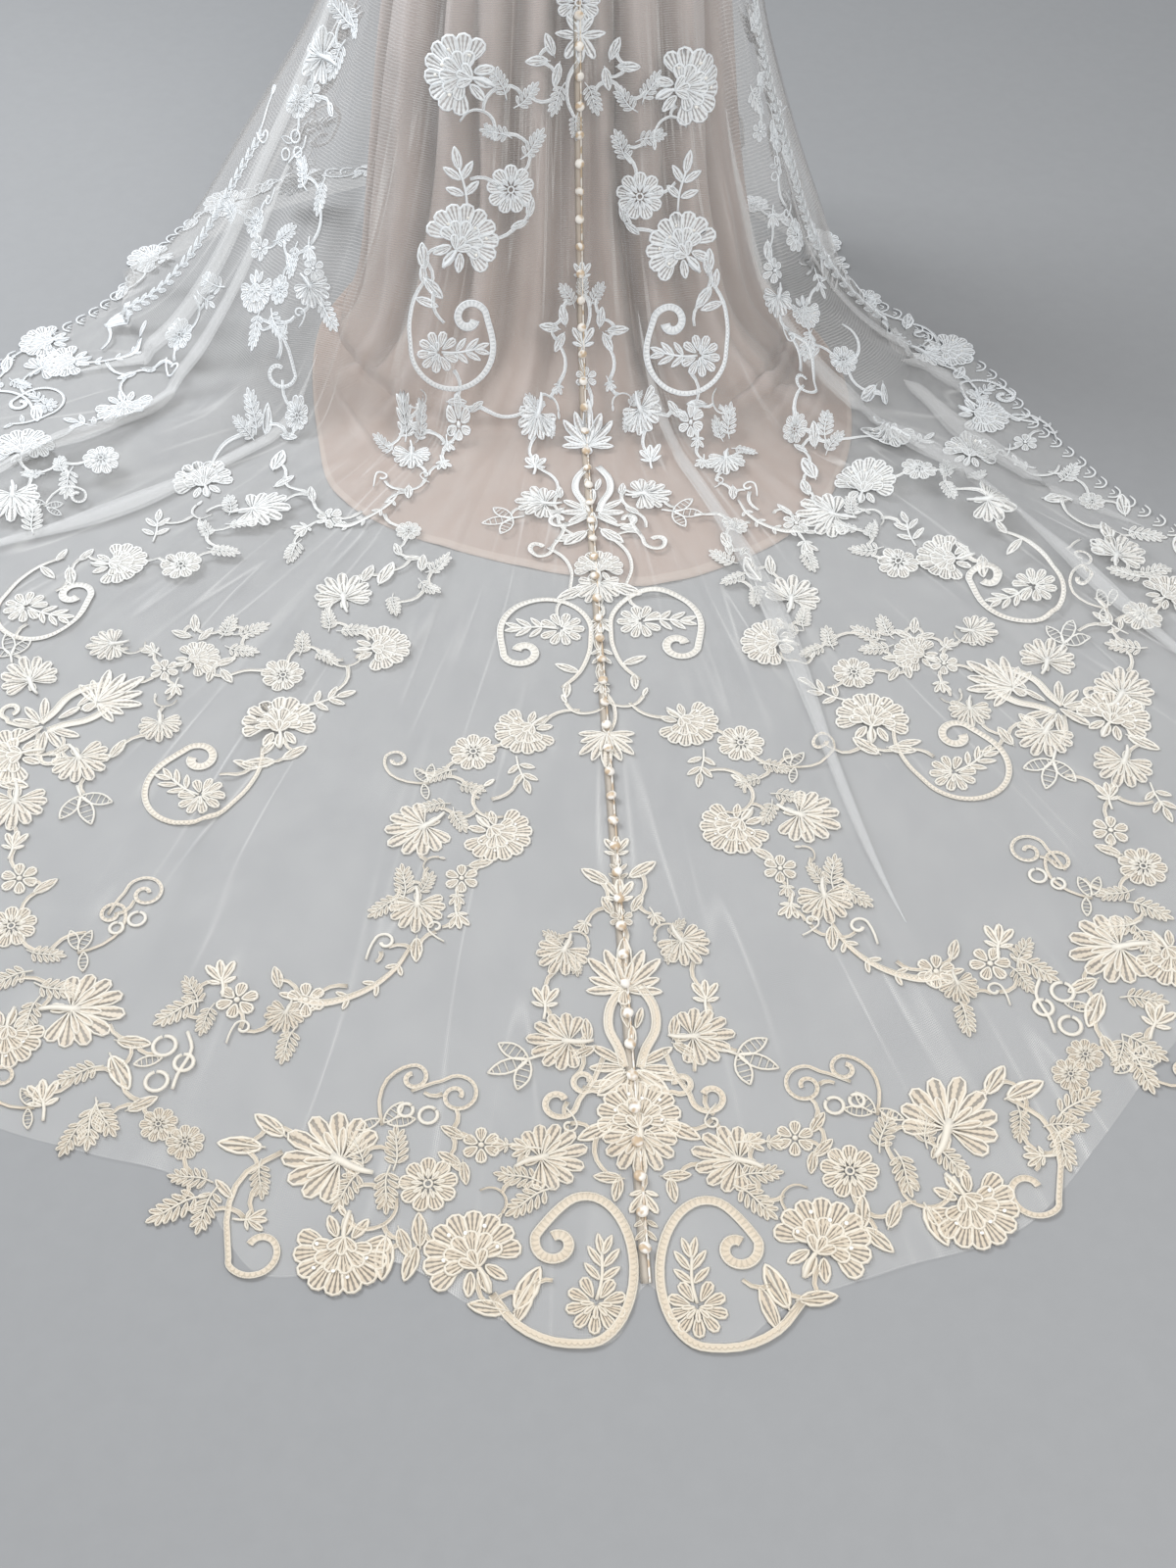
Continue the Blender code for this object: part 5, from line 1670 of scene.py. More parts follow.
# Pairs either side of centre back: kind, left place and turn, right place and turn, size
PAIRED_LACE = (
    # leaves beside the top flower
    (M.LEAF, (561, 46, -20), (627, 50, 24), 0.9), (M.LEAF, (548, 62, -92), (641, 68, 90), 0.9),
    (M.LEAF, (568, 76, 192), (619, 80, 168), 0.9), (M.FEATHER, (569, 100, 200), (604, 99, 160), 0.62),
    # the garland on the hanging skirt
    (M.PEONY, (471, 76, -68), (699, 88, 68), 1.22), (M.FEATHER, (510, 85, -28), (664, 90, 32), 0.62),
    (M.FEATHER, (537, 99, 42), (639, 102, -38), 0.60), (M.FEATHER, (507, 136, -78), (664, 141, 80), 0.58),
    (M.FEATHER, (543, 148, 36), (635, 150, -24), 0.66), (M.CRESCENT, (489, 120, 12), (681, 127, -12), 1.0),
    (M.ROSETTE, (521, 193, 0), (653, 200, 0), 1.10), (M.LEAF, (541, 212, 12), (636, 217, -12), 0.8),
    (M.LEAF, (530, 229, -112), (645, 233, 128), 0.7), (M.SPRAY, (470, 180, -12), (698, 183, 12), 1.20),
    (M.PEONY, (471, 246, 36), (695, 253, -38), 1.22), (M.LEAF, (432, 262, -4), (723, 267, 4), 1.05),
    (M.LEAF, (442, 294, 138), (718, 303, -145), 1.05), (M.SCROLL, (461, 353, 167), (701, 357, -167), 1.02),
    (M.LEAF, (466, 410, 92), (711, 412, -92), 0.8), (M.CRESCENT, (430, 408, 110), (732, 412, -110), 0.6),
    (M.BLOSSOM, (468, 433, 0), (705, 431, 0), 0.95), (M.LEAF, (486, 415, 50), (688, 418, -60), 0.7),
    (M.BUD, (457, 454, 170), (712, 450, 185), 0.75), (M.BUD, (452, 473, 160), (717, 472, 190), 0.85),
    (M.FEATHER, (413, 430, -6), (744, 432, 6), 0.62), (M.FEATHER, (429, 437, 26), (733, 440, -26), 0.5),
    (M.FEATHER, (393, 456, -68), (759, 460, 100), 0.5), (M.FAN, (420, 470, 182), (741, 475, 178), 0.62),
    (M.CURVE, (390, 490, 200), (764, 500, 160), 0.8), (M.CURVE, (436, 487, 130), (731, 492, -130), 0.6),
    (M.LEAF, (417, 502, 182), (748, 503, 178), 0.8), (M.ACANTHUS, (383, 520, -6), (778, 530, 8), 0.72),
    (M.BLOSSOM, (336, 528, 0), (812, 535, 0), 0.95), (M.BUD, (311, 540, -120), (822, 556, 140), 1.0),
    (M.LEAF, (318, 505, -8), (801, 521, -60), 0.8), (M.FEATHER, (300, 562, 212), (825, 572, 150), 0.6),
    # beside the upper vase
    (M.FEATHER, (580, 302, -34), (608, 301, 30), 0.55), (M.LEAF, (575, 322, -10), (613, 324, 8), 0.85),
    (M.LEAF, (561, 334, -80), (630, 337, 85), 0.9), (M.LEAF, (571, 349, 205), (620, 349, 155), 0.85),
    (M.BUD, (570, 395, -160), (622, 392, 160), 0.62), (M.CRESCENT, (560, 411, 10), (634, 406, -14), 0.62),
    (M.FAN, (546, 436, -150), (658, 428, 140), 0.62), (M.FEATHER, (545, 415, -62), (648, 408, 40), 0.42),
    (M.FEATHER, (562, 437, 172), (640, 430, 195), 0.42), (M.BUD, (546, 474, 6), (664, 468, -6), 1.2),
    (M.FAN, (543, 511, -86), (668, 505, 84), 0.74), (M.LADDER, (513, 531, -98), (697, 524, 98), 1.0),
    (M.LEAF, (571, 503, -8), (635, 500, 6), 0.75), (M.LEAF, (569, 523, -118), (645, 521, 118), 0.7),
    (M.HOOK, (556, 553, 32), (664, 545, -32), 0.9), (M.LEAF, (588, 549, -120), (624, 547, 120), 1.2),
    (M.LEAF, (583, 606, -110), (639, 602, 106), 1.2),
    # the middle scrolls and the garland that hangs from them
    (M.SCROLL, (557, 646, -8), (669, 638, 8), 1.04), (M.CRESCENT, (600, 722, 168), (634, 715, -168), 1.1),
    (M.PEONY, (537, 746, -124), (701, 738, 124), 0.95), (M.ROSETTE, (483, 768, 0), (756, 759, 0), 0.98),
    (M.SPRAY, (534, 792, 160), (715, 785, 188), 0.90), (M.CURL, (414, 782, 0), (829, 766, 0), 0.82),
    (M.FEATHER, (450, 791, -112), (790, 783, 105), 0.55), (M.FEATHER, (480, 804, 104), (765, 797, -108), 0.5),
    (M.FEATHER, (443, 823, -102), (803, 813, 102), 0.55), (M.FEATHER, (468, 837, 148), (784, 829, 205), 0.55),
    (M.CRESCENT, (494, 822, -112), (757, 817, 112), 1.15), (M.FAN, (418, 852, -118), (833, 837, 108), 0.90),
    (M.PEONY, (507, 851, 130), (750, 844, -136), 1.0), (M.BLOSSOM, (471, 897, 0), (796, 887, 0), 1.0),
    (M.LEAF, (490, 882, 78), (779, 872, -62), 0.85), (M.CRESCENT, (438, 882, -70), (826, 872, 80), 0.55),
    (M.BUD, (466, 916, 180), (803, 907, 180), 0.7), (M.BUD, (467, 936, 170), (806, 926, 190), 0.95),
    (M.FEATHER, (412, 901, -6), (850, 891, 6), 0.68), (M.FEATHER, (434, 903, 32), (834, 893, -36), 0.5),
    (M.FEATHER, (394, 925, -122), (872, 914, 122), 0.62), (M.FAN, (425, 935, 184), (844, 926, 166), 0.72),
    (M.CURVE, (391, 967, 210), (878, 951, 150), 1.0), (M.CURVE, (448, 949, 130), (824, 943, -128), 0.75),
    (M.LEAF, (425, 969, 182), (849, 957, 178), 0.95), (M.ACANTHUS, (376, 1000, 2), (893, 976, -4), 0.92),
    (M.BLOSSOM, (312, 1021, 0), (955, 992, 0), 1.1), (M.FAN, (287, 1042, 212), (981, 1012, 152), 0.5),
    (M.LEAF, (283, 998, -14), (973, 970, 14), 0.85), (M.FEATHER, (294, 1066, 200), (984, 1038, 165), 0.62),
    (M.BLOSSOM, (242, 1021, 20), (1010, 984, 20), 1.15), (M.BUD, (226, 998, -4), (1019, 961, 0), 1.3),
    (M.FEATHER, (197, 1013, -26), (1043, 973, 28), 0.6),
    (M.FEATHER, (183, 1032, -118), (1055, 988, 118), 0.75),
    (M.FEATHER, (211, 1040, 202), (1042, 999, 140), 0.55),
    (M.CURVE, (246, 1054, -150), (1016, 1015, 150), 0.8),
    # the first garland out
    (M.ROSETTE, (417, 542, 0), (750, 537, 0), 0.60), (M.LEAF, (406, 562, -26), (744, 560, -20), 0.75),
    (M.LEAF, (421, 570, 92), (760, 562, 40), 0.65), (M.LEAF, (394, 586, 32), (768, 582, -34), 1.35),
    (M.LEAF, (431, 575, 10), (741, 552, -30), 0.9), (M.FEATHER, (447, 578, 52), (739, 570, -62), 0.62),
    (M.FEATHER, (437, 600, 120), (750, 590, -108), 0.55), (M.FEATHER, (402, 617, 168), (771, 607, 190), 0.55),
    (M.FAN, (350, 600, -4), (808, 602, 5), 0.86), (M.LEAF, (375, 586, 34), (786, 578, -10), 1.0),
    (M.FEATHER, (335, 634, -10), (804, 641, -82), 0.58), (M.FEATHER, (360, 643, 86), (820, 632, 10), 0.6),
    (M.FEATHER, (308, 658, 4), (846, 652, -14), 0.6), (M.FEATHER, (332, 669, 120), (830, 664, -112), 0.55),
    (M.CRESCENT, (357, 675, 150), (812, 670, 190), 0.85), (M.PEONY, (388, 662, 84), (787, 656, -84), 0.95),
    (M.ROSETTE, (289, 690, 0), (871, 687, 0), 0.92), (M.SPRAY, (338, 713, 74), (838, 706, -70), 0.98),
    (M.PEONY, (285, 740, 0), (890, 735, 2), 1.10), (M.LEAF, (265, 779, -96), (884, 762, -58), 1.15),
    (M.LEAF, (300, 769, 62), (920, 765, 94), 1.0), (M.SCROLL, (198, 803, -124), (980, 779, 124), -0.98),
    # the second garland out
    (M.ROSETTE, (303, 424, 0), (811, 438, 0), 0.58), (M.FEATHER, (258, 421, -14), (843, 433, 6), 0.66),
    (M.FEATHER, (250, 439, -62), (851, 451, 52), 0.55), (M.LEAF, (273, 431, 20), (831, 444, -14), 0.95),
    (M.LEAF, (295, 446, 96), (817, 458, -60), 0.7), (M.LEAF, (284, 471, 24), (826, 478, -30), 1.4),
    (M.LEAF, (290, 492, 60), (822, 498, -20), 1.0), (M.FAN, (274, 518, 92), (835, 523, -90), 0.95),
    (M.FEATHER, (234, 515, -8), (869, 518, -8), 0.62), (M.FEATHER, (246, 534, 86), (864, 538, -80), 0.6),
    (M.FEATHER, (210, 542, -30), (889, 543, 20), 0.55), (M.FEATHER, (227, 562, 96), (884, 562, -84), 0.62),
    (M.CRESCENT, (204, 525, -120), (893, 527, 60), 0.8), (M.PEONY, (207, 491, -18), (882, 496, 14), 1.02),
    (M.ROSETTE, (185, 577, 0), (917, 573, 0), 0.95), (M.SPRAY, (160, 536, 12), (927, 538, -24), 1.0),
    (M.PEONY, (120, 576, 90), (966, 571, -90), 1.0), (M.LEAF, (88, 567, 52), (982, 559, -50), 0.8),
    (M.LEAF, (72, 588, 172), (1003, 576, 172), 1.05), (M.SCROLL, (42, 620, -148), (1040, 598, 148), 1.0),
    # the far palm and what grows round it
    (M.FEATHER, (232, 641, 26), (904, 641, -26), 0.62), (M.FEATHER, (256, 644, 70), (886, 648, -66), 0.66),
    (M.FEATHER, (246, 664, 98), (895, 662, -96), 0.62), (M.LEAF, (199, 637, 0), (933, 639, 6), 0.85),
    (M.LEAF, (186, 648, -78), (922, 648, -66), 0.8), (M.LEAF, (210, 648, 48), (943, 650, 76), 0.8),
    (M.PEONY, (200, 673, 70), (936, 668, -70), 0.75), (M.LEAF, (229, 676, 72), (912, 672, -90), 0.85),
    (M.LEAF, (231, 690, 140), (926, 684, 165), 0.85), (M.LEAF, (215, 688, 200), (912, 688, 215), 0.8),
    (M.BLOSSOM, (168, 684, 0), (963, 678, 0), 0.95), (M.BUD, (156, 665, -60), (966, 659, 50), 0.8),
    (M.CRESCENT, (137, 663, 160), (985, 652, -160), 0.7), (M.FAN, (104, 659, -96), (1002, 646, 98), 0.62),
    (M.BUD, (179, 702, 200), (960, 699, 162), 0.85), (M.CRESCENT, (168, 718, 200), (972, 714, 150), 0.6),
    (M.FAN, (163, 746, 184), (990, 731, 174), 0.60), (M.LOTUS, (122, 706, 62), (1011, 690, -60), 1.05),
    (M.VASE, (66, 731, 62), (1060, 713, -62), 0.95), (M.FAN, (28, 686, -18), (1070, 666, 12), 0.80),
    (M.LADDER, (10, 662, -10), (1088, 650, 22), 1.0), (M.FAN, (86, 783, 150), (1062, 757, -152), 0.80),
    (M.LADDER, (86, 822, 160), (1072, 786, -166), 1.1), (M.LEAF, (62, 766, 60), (1048, 736, -50), 0.8),
    (M.LEAF, (120, 765, 40), (1026, 752, -40), 0.95), (M.PEONY, (12, 772, -100), (1136, 733, 30), 1.1),
    (M.FAN, (14, 830, 190), (1150, 699, 32), 0.85), (M.LEAF, (12, 800, 100), (1166, 758, 112), 1.2),
    (M.BLOSSOM, (20, 897, 0), (1133, 848, 0), 1.1), (M.BUD, (14, 862, 20), (1131, 812, -14), 1.1),
    (M.ROSETTE, (12, 946, 0), (1166, 885, 0), 0.95), (M.LEAF, (46, 905, 60), (1131, 868, -70), 0.9),
    (M.FEATHER, (46, 974, 96), (1139, 912, -96), 0.6), (M.CURL, (104, 944, -8), (1090, 890, 8), -0.88),
    (M.TENDRIL, (148, 912, 24), (1049, 869, -28), 1.0),
)
# Pairs along the hem of the train: kind, left place and turn, right place and turn, size
HEM_LACE = (
    # beside the lower vase
    (M.LEAF, (608, 895, -62), (655, 888, 60), 1.1), (M.BUD, (596, 944, -150), (668, 936, 150), 0.7),
    (M.LEAF, (620, 925, -30), (650, 922, 30), 0.8), (M.CRESCENT, (588, 956, 10), (680, 948, -14), 0.62),
    (M.FAN, (570, 980, -150), (703, 970, 140), 0.66), (M.FEATHER, (566, 958, -60), (690, 948, 40), 0.42),
    (M.FEATHER, (588, 984, 174), (684, 972, 192), 0.42), (M.BUD, (556, 1022, 4), (720, 1017, -4), 1.15),
    (M.FAN, (562, 1062, -86), (725, 1057, 86), 0.80), (M.LADDER, (526, 1086, -108), (766, 1081, 108), 1.05),
    (M.LEAF, (599, 1052, -6), (688, 1049, 6), 0.85), (M.LEAF, (596, 1074, -116), (698, 1071, 116), 0.8),
    (M.HOOK, (580, 1112, 32), (714, 1106, -32), 0.98), (M.LEAF, (628, 1106, -124), (664, 1104, 122), 1.3),
    # flowers beside the foot of the buttons
    (M.LEAF, (608, 1155, -114), (696, 1154, 114), 1.15), (M.CURVE, (578, 1146, -30), (730, 1142, 30), 0.7),
    (M.FAN, (572, 1178, 78), (733, 1180, -78), 0.84), (M.FEATHER, (530, 1202, -80), (773, 1199, 84), 0.65),
    (M.FEATHER, (541, 1225, -122), (770, 1225, 130), 0.72), (M.LEAF, (621, 1202, -86), (690, 1200, 86), 0.85),
    (M.LEAF, (630, 1213, 192), (686, 1214, 168), 0.8), (M.CRESCENT, (507, 1222, 50), (807, 1219, -50), 0.7),
    (M.BUD, (536, 1172, -86), (766, 1166, 86), 0.85), (M.BUD, (514, 1169, -90), (787, 1166, 90), 0.7),
    (M.BLOSSOM, (491, 1169, 0), (811, 1162, 0), 1.0), (M.LEAF, (462, 1156, -62), (834, 1146, 34), 0.8),
    (M.LEAF, (459, 1183, -60), (840, 1172, 46), 0.8), (M.LEAF, (474, 1197, 172), (829, 1186, 188), 0.75),
    (M.ROSETTE, (437, 1209, 0), (867, 1196, 0), 1.0), (M.PEONY, (482, 1283, -26), (839, 1269, 28), 1.15),
    (M.HOOP, (604, 1294, 0), (716, 1298, 0), 1.0), (M.LEAF, (498, 1335, -80), (834, 1325, 84), 1.1),
    (M.LEAF, (538, 1316, 30), (793, 1314, -28), 1.4), (M.LEAF, (428, 1256, -2), (880, 1238, 0), 1.05),
    (M.LEAF, (419, 1289, 200), (896, 1265, 130), 1.05), (M.LEAF, (412, 1268, 160), (912, 1240, 22), 0.95),
    # above them
    (M.CURL, (414, 1114, 74), (870, 1104, -74), 0.90), (M.TENDRIL, (466, 1118, 60), (822, 1108, -60), 1.0),
    (M.FEATHER, (404, 1173, 0), (902, 1156, 20), 0.68), (M.FEATHER, (395, 1213, 182), (922, 1196, 162), 0.70),
    (M.FEATHER, (366, 1176, -20), (945, 1153, 4), 0.62),
    (M.FEATHER, (355, 1213, 214), (966, 1182, 132), 0.70),
    (M.FAN, (325, 1173, -62), (972, 1130, 14), 1.12), (M.PEONY, (349, 1276, 192), (991, 1231, 140), 1.12),
    (M.CRESCENT, (383, 1243, 160), (944, 1222, 180), 1.1), (M.LEAF, (392, 1283, 186), (955, 1250, 150), 1.3),
    (M.LEAF, (246, 1169, -84), (1045, 1113, 64), 1.35), (M.LEAF, (276, 1149, -54), (1015, 1103, 32), 1.2),
    (M.FEATHER, (266, 1203, 176), (1040, 1146, 178), 0.58),
    (M.FEATHER, (196, 1203, -84), (1086, 1149, 90), 0.62),
    (M.FEATHER, (181, 1232, -116), (1098, 1128, 60), 0.80),
    (M.FEATHER, (211, 1233, 202), (1083, 1170, 160), 0.7),
    (M.CROOK, (262, 1272, 6), (1052, 1212, -6), 1.0), (M.BUD, (256, 1245, 92), (1060, 1180, -92), 0.9),
    (M.ROSETTE, (189, 1166, 0), (1092, 1097, 0), 0.66), (M.ROSETTE, (162, 1148, 0), (1107, 1077, 0), 0.66),
    # the turn of the hem
    (M.LEAF, (145, 1127, 66), (1131, 1069, 150), 0.95), (M.LEAF, (136, 1064, 96), (1105, 1006, -114), 1.1),
    (M.LEAF, (122, 1094, 152), (1117, 1030, 200), 1.4), (M.LOOPS, (172, 1084, 0), (1080, 1028, 0), 1.0),
    (M.FAN, (96, 1033, 96), (1121, 971, -100), 1.05), (M.FEATHER, (57, 1009, 98), (1143, 945, -96), 0.7),
    (M.FEATHER, (31, 1037, 202), (1170, 963, 150), 0.7), (M.FEATHER, (10, 999, -112), (1172, 928, 112), 0.7),
    (M.PEONY, (5, 1058, 200), (1196, 976, 140), 1.0), (M.FEATHER, (82, 1096, -112), (1166, 1020, 98), 0.68),
    (M.BUD, (44, 1122, 0), (1180, 1042, 20), 1.3), (M.FEATHER, (93, 1148, 190), (1164, 1092, 152), 0.75),
    (M.FEATHER, (75, 1160, 215), (1143, 1074, 192), 0.62),
    (M.FEATHER, (106, 1140, 150), (1167, 1068, 122), 0.7),
    (M.CURL, (12, 1108, 10), (1192, 1090, 60), 0.8),
)
# Lace on the hanging sides: kind, place and turn, size
SIDE_LACE = (
    (M.FEATHER, (350, 14, -30), 0.8), (M.FEATHER, (362, 22, 160), 0.7), (M.CRESCENT, (312, 78, 96), 1.3),
    (M.FAN, (318, 52, -60), 0.85), (M.FEATHER, (345, 60, 200), 0.8), (M.ROSETTE, (304, 104, 0), 0.75),
    (M.BLOSSOM, (318, 96, 0), 0.9), (M.LEAF, (280, 92, 10), 0.9), (M.LEAF, (338, 112, 150), 0.9),
    (M.CURVE, (270, 136, -30), 0.9), (M.LOOPS, (300, 150, 20), 0.7), (M.FEATHER, (310, 178, -14), 0.8),
    (M.CURVE, (276, 200, 20), 0.7), (M.ROSETTE, (262, 228, 0), 0.75), (M.BLOSSOM, (266, 254, 0), 0.9),
    (M.FEATHER, (238, 218, -30), 0.7), (M.FEATHER, (290, 240, 50), 0.7), (M.FEATHER, (300, 265, 190), 0.7),
    (M.PEONY, (262, 296, 180), 0.8), (M.ROSETTE, (286, 296, 0), 0.72), (M.LEAF, (296, 268, -20), 0.9),
    (M.CURVE, (304, 322, -160), 0.7), (M.FEATHER, (262, 336, 190), 0.8), (M.FEATHER, (282, 330, 150), 0.7),
    (M.CROOK, (285, 378, -20), 0.8), (M.FAN, (322, 300, 150), 0.6), (M.FEATHER, (335, 320, 150), 0.7),
    (M.BLOSSOM, (320, 274, 0), 0.8), (M.BUD, (316, 255, 180), 0.9), (M.FEATHER, (328, 200, 190), 0.7),
    (M.ROSETTE, (184, 342, 0), 0.85), (M.CRESCENT, (196, 322, 118), 1.3), (M.FEATHER, (216, 288, -60), 0.8),
    (M.SPRAY, (212, 306, 140), 0.7), (M.CURVE, (178, 372, -10), 0.9), (M.LEAF, (130, 384, -110), 0.9),
    (M.LEAF, (152, 378, 100), 0.7), (M.PEONY, (128, 416, 160), 1.05), (M.SPRAY, (84, 432, -78), 0.95),
    (M.ROSETTE, (103, 468, 0), 0.85), (M.PEONY, (22, 458, -20), 1.10), (M.FEATHER, (62, 474, -10), 0.6),
    (M.FEATHER, (70, 492, 200), 0.7), (M.FEATHER, (34, 484, -80), 0.5), (M.FAN, (12, 516, 190), 0.85),
    (M.CURL, (70, 510, 100), 0.7), (M.ACANTHUS, (100, 366, -52), 0.85), (M.SCROLL, (40, 412, 60), 0.62),
    (M.FAN, (52, 372, 60), 0.75), (M.FEATHER, (20, 392, 110), 0.6),
    (M.FEATHER, (770, 20, 10), 0.7), (M.FEATHER, (775, 84, 40), 0.75), (M.FEATHER, (772, 102, 150), 0.7),
    (M.CRESCENT, (786, 122, 70), 1.0), (M.CURVE, (796, 106, 30), 0.7), (M.ROSETTE, (790, 140, 0), 0.78),
    (M.BLOSSOM, (775, 134, 0), 0.7), (M.FEATHER, (802, 158, 160), 0.6), (M.LOOPS, (792, 172, 0), 0.5),
    (M.CURVE, (802, 214, 20), 0.6), (M.ROSETTE, (812, 240, 0), 0.8), (M.FEATHER, (830, 236, 30), 0.7),
    (M.BUD, (788, 222, 180), 0.9), (M.BLOSSOM, (790, 276, 0), 0.9), (M.LEAF, (784, 256, 170), 0.9),
    (M.FAN, (792, 312, 180), 0.55), (M.PEONY, (820, 318, 170), 0.66), (M.FEATHER, (826, 350, 190), 0.7),
    (M.CURVE, (806, 340, -20), 0.7), (M.CROOK, (820, 388, -14), 0.75), (M.BLOSSOM, (844, 262, 0), 0.9),
    (M.SPRAY, (836, 290, 160), 0.7), (M.CRESCENT, (868, 352, 100), 1.3), (M.ROSETTE, (860, 368, 0), 0.75),
    (M.LEAF, (886, 402, -120), 0.9), (M.LEAF, (902, 404, 150), 0.7), (M.PEONY, (908, 436, 160), 1.0),
    (M.SPRAY, (940, 450, 60), 0.85), (M.ROSETTE, (938, 478, 0), 0.85), (M.PEONY, (990, 462, 20), 0.95),
    (M.FEATHER, (966, 480, -20), 0.5), (M.FEATHER, (996, 486, 60), 0.5), (M.FAN, (1024, 508, 100), 0.85),
    (M.FEATHER, (968, 498, 150), 0.6), (M.CURVE, (1022, 460, 20), 0.8), (M.BLOSSOM, (1046, 452, 0), 0.9),
    (M.CRESCENT, (1060, 480, 170), 1.3), (M.LEAF, (1080, 506, 92), 1.2), (M.FEATHER, (1090, 484, 40), 0.7),
    (M.ROSETTE, (1114, 512, 0), 0.62), (M.BUD, (1044, 476, -80), 0.9), (M.FAN, (952, 366, 120), 0.75),
    (M.CURL, (934, 346, -20), 0.7), (M.SCROLL, (1004, 404, -60), 0.66), (M.ACANTHUS, (1066, 436, -150), 0.5),
    (M.FAN, (1142, 560, 20), 0.85), (M.LEAF, (1146, 516, -10), 1.3), (M.LEAF, (1130, 540, -30), 1.1),
    (M.FEATHER, (1166, 545, 100), 0.8), (M.TENDRIL, (1102, 568, -120), 0.9), (M.CURL, (1112, 598, 10), 0.85),
    (M.FEATHER, (1150, 586, -80), 0.7), (M.FEATHER, (1176, 584, 80), 0.7), (M.ROSETTE, (1166, 628, 0), 0.9),
    (M.PEONY, (1192, 608, 60), 0.9), (M.SPRAY, (1132, 636, -60), 0.8), (M.FEATHER, (1150, 660, -80), 0.7),
    (M.FAN, (1143, 788, 200), 0.8), (M.SPRAY, (1185, 820, 150), 0.9),
)
# Sprays on the sides and front that the frame leaves out: kind, place along the skirt, turn from up, size
HIDDEN_SPRAY = (
    (M.SPRAY, 0.60, 0, 0.9), (M.PEONY, 0.655, 170, 0.95), (M.FEATHER, 0.71, 14, 0.9),
    (M.ROSETTE, 0.755, 0, 0.85), (M.SCROLL, 0.84, 0, 0.85), (M.LADDER, 0.91, 180, 0.8),
    (M.FAN, 0.96, 180, 1.0),
)
SPRAY_AZIMUTHS = (-168.0, -143.0, -119.0, 112.0, 137.0, 162.0)
BACK_SPRAYS = (-32.0, 32.0)     # the same sprays higher up the back, above the frame
BACK_SPRAY_RISE = 0.38

# Motifs in turn along the stretches of hem that the frame leaves out: kind, turn from up, size
HEM_CYCLE = (
    (M.PEONY, 176, 1.0), (M.LEAF, 96, 1.2), (M.ROSETTE, 0, 0.9), (M.FEATHER, -60, 0.8), (M.FAN, 158, 0.95),
    (M.SPRAY, 84, 0.9), (M.ROSETTE, 20, 0.7), (M.LEAF, -110, 1.3),
)
# Those stretches, and rows above them: first azimuth, last azimuth, place along the skirt, pitch
HEM_RUNS = (
    (-178, -108, 1.90, 0.068), (104, 178, 1.90, 0.068), (-86, -46, 1.90, 0.072), (-106, -90, 1.86, 0.075),
    (-84, -52, 1.50, 0.105), (56, 72, 1.60, 0.095), (-46, -39, 1.86, 0.080), (70, 104, 1.90, 0.072),
    (31, 53, 1.89, 0.078),
)
# Leaf braids down the side folds: azimuth, start, end
BRAIDS = ((76.0, 0.30, 1.30), (-86.0, 0.72, 1.35))
BRAID_STEP = 0.014
# Solids that the lace on the train stands for
LACE_NODES = ("lace_scroll_1", "lace_flower_2", "lace_peony_3", "lace_flower_4", "lace_flower_5",
              "lace_flower_6", "lace_rosette_7")


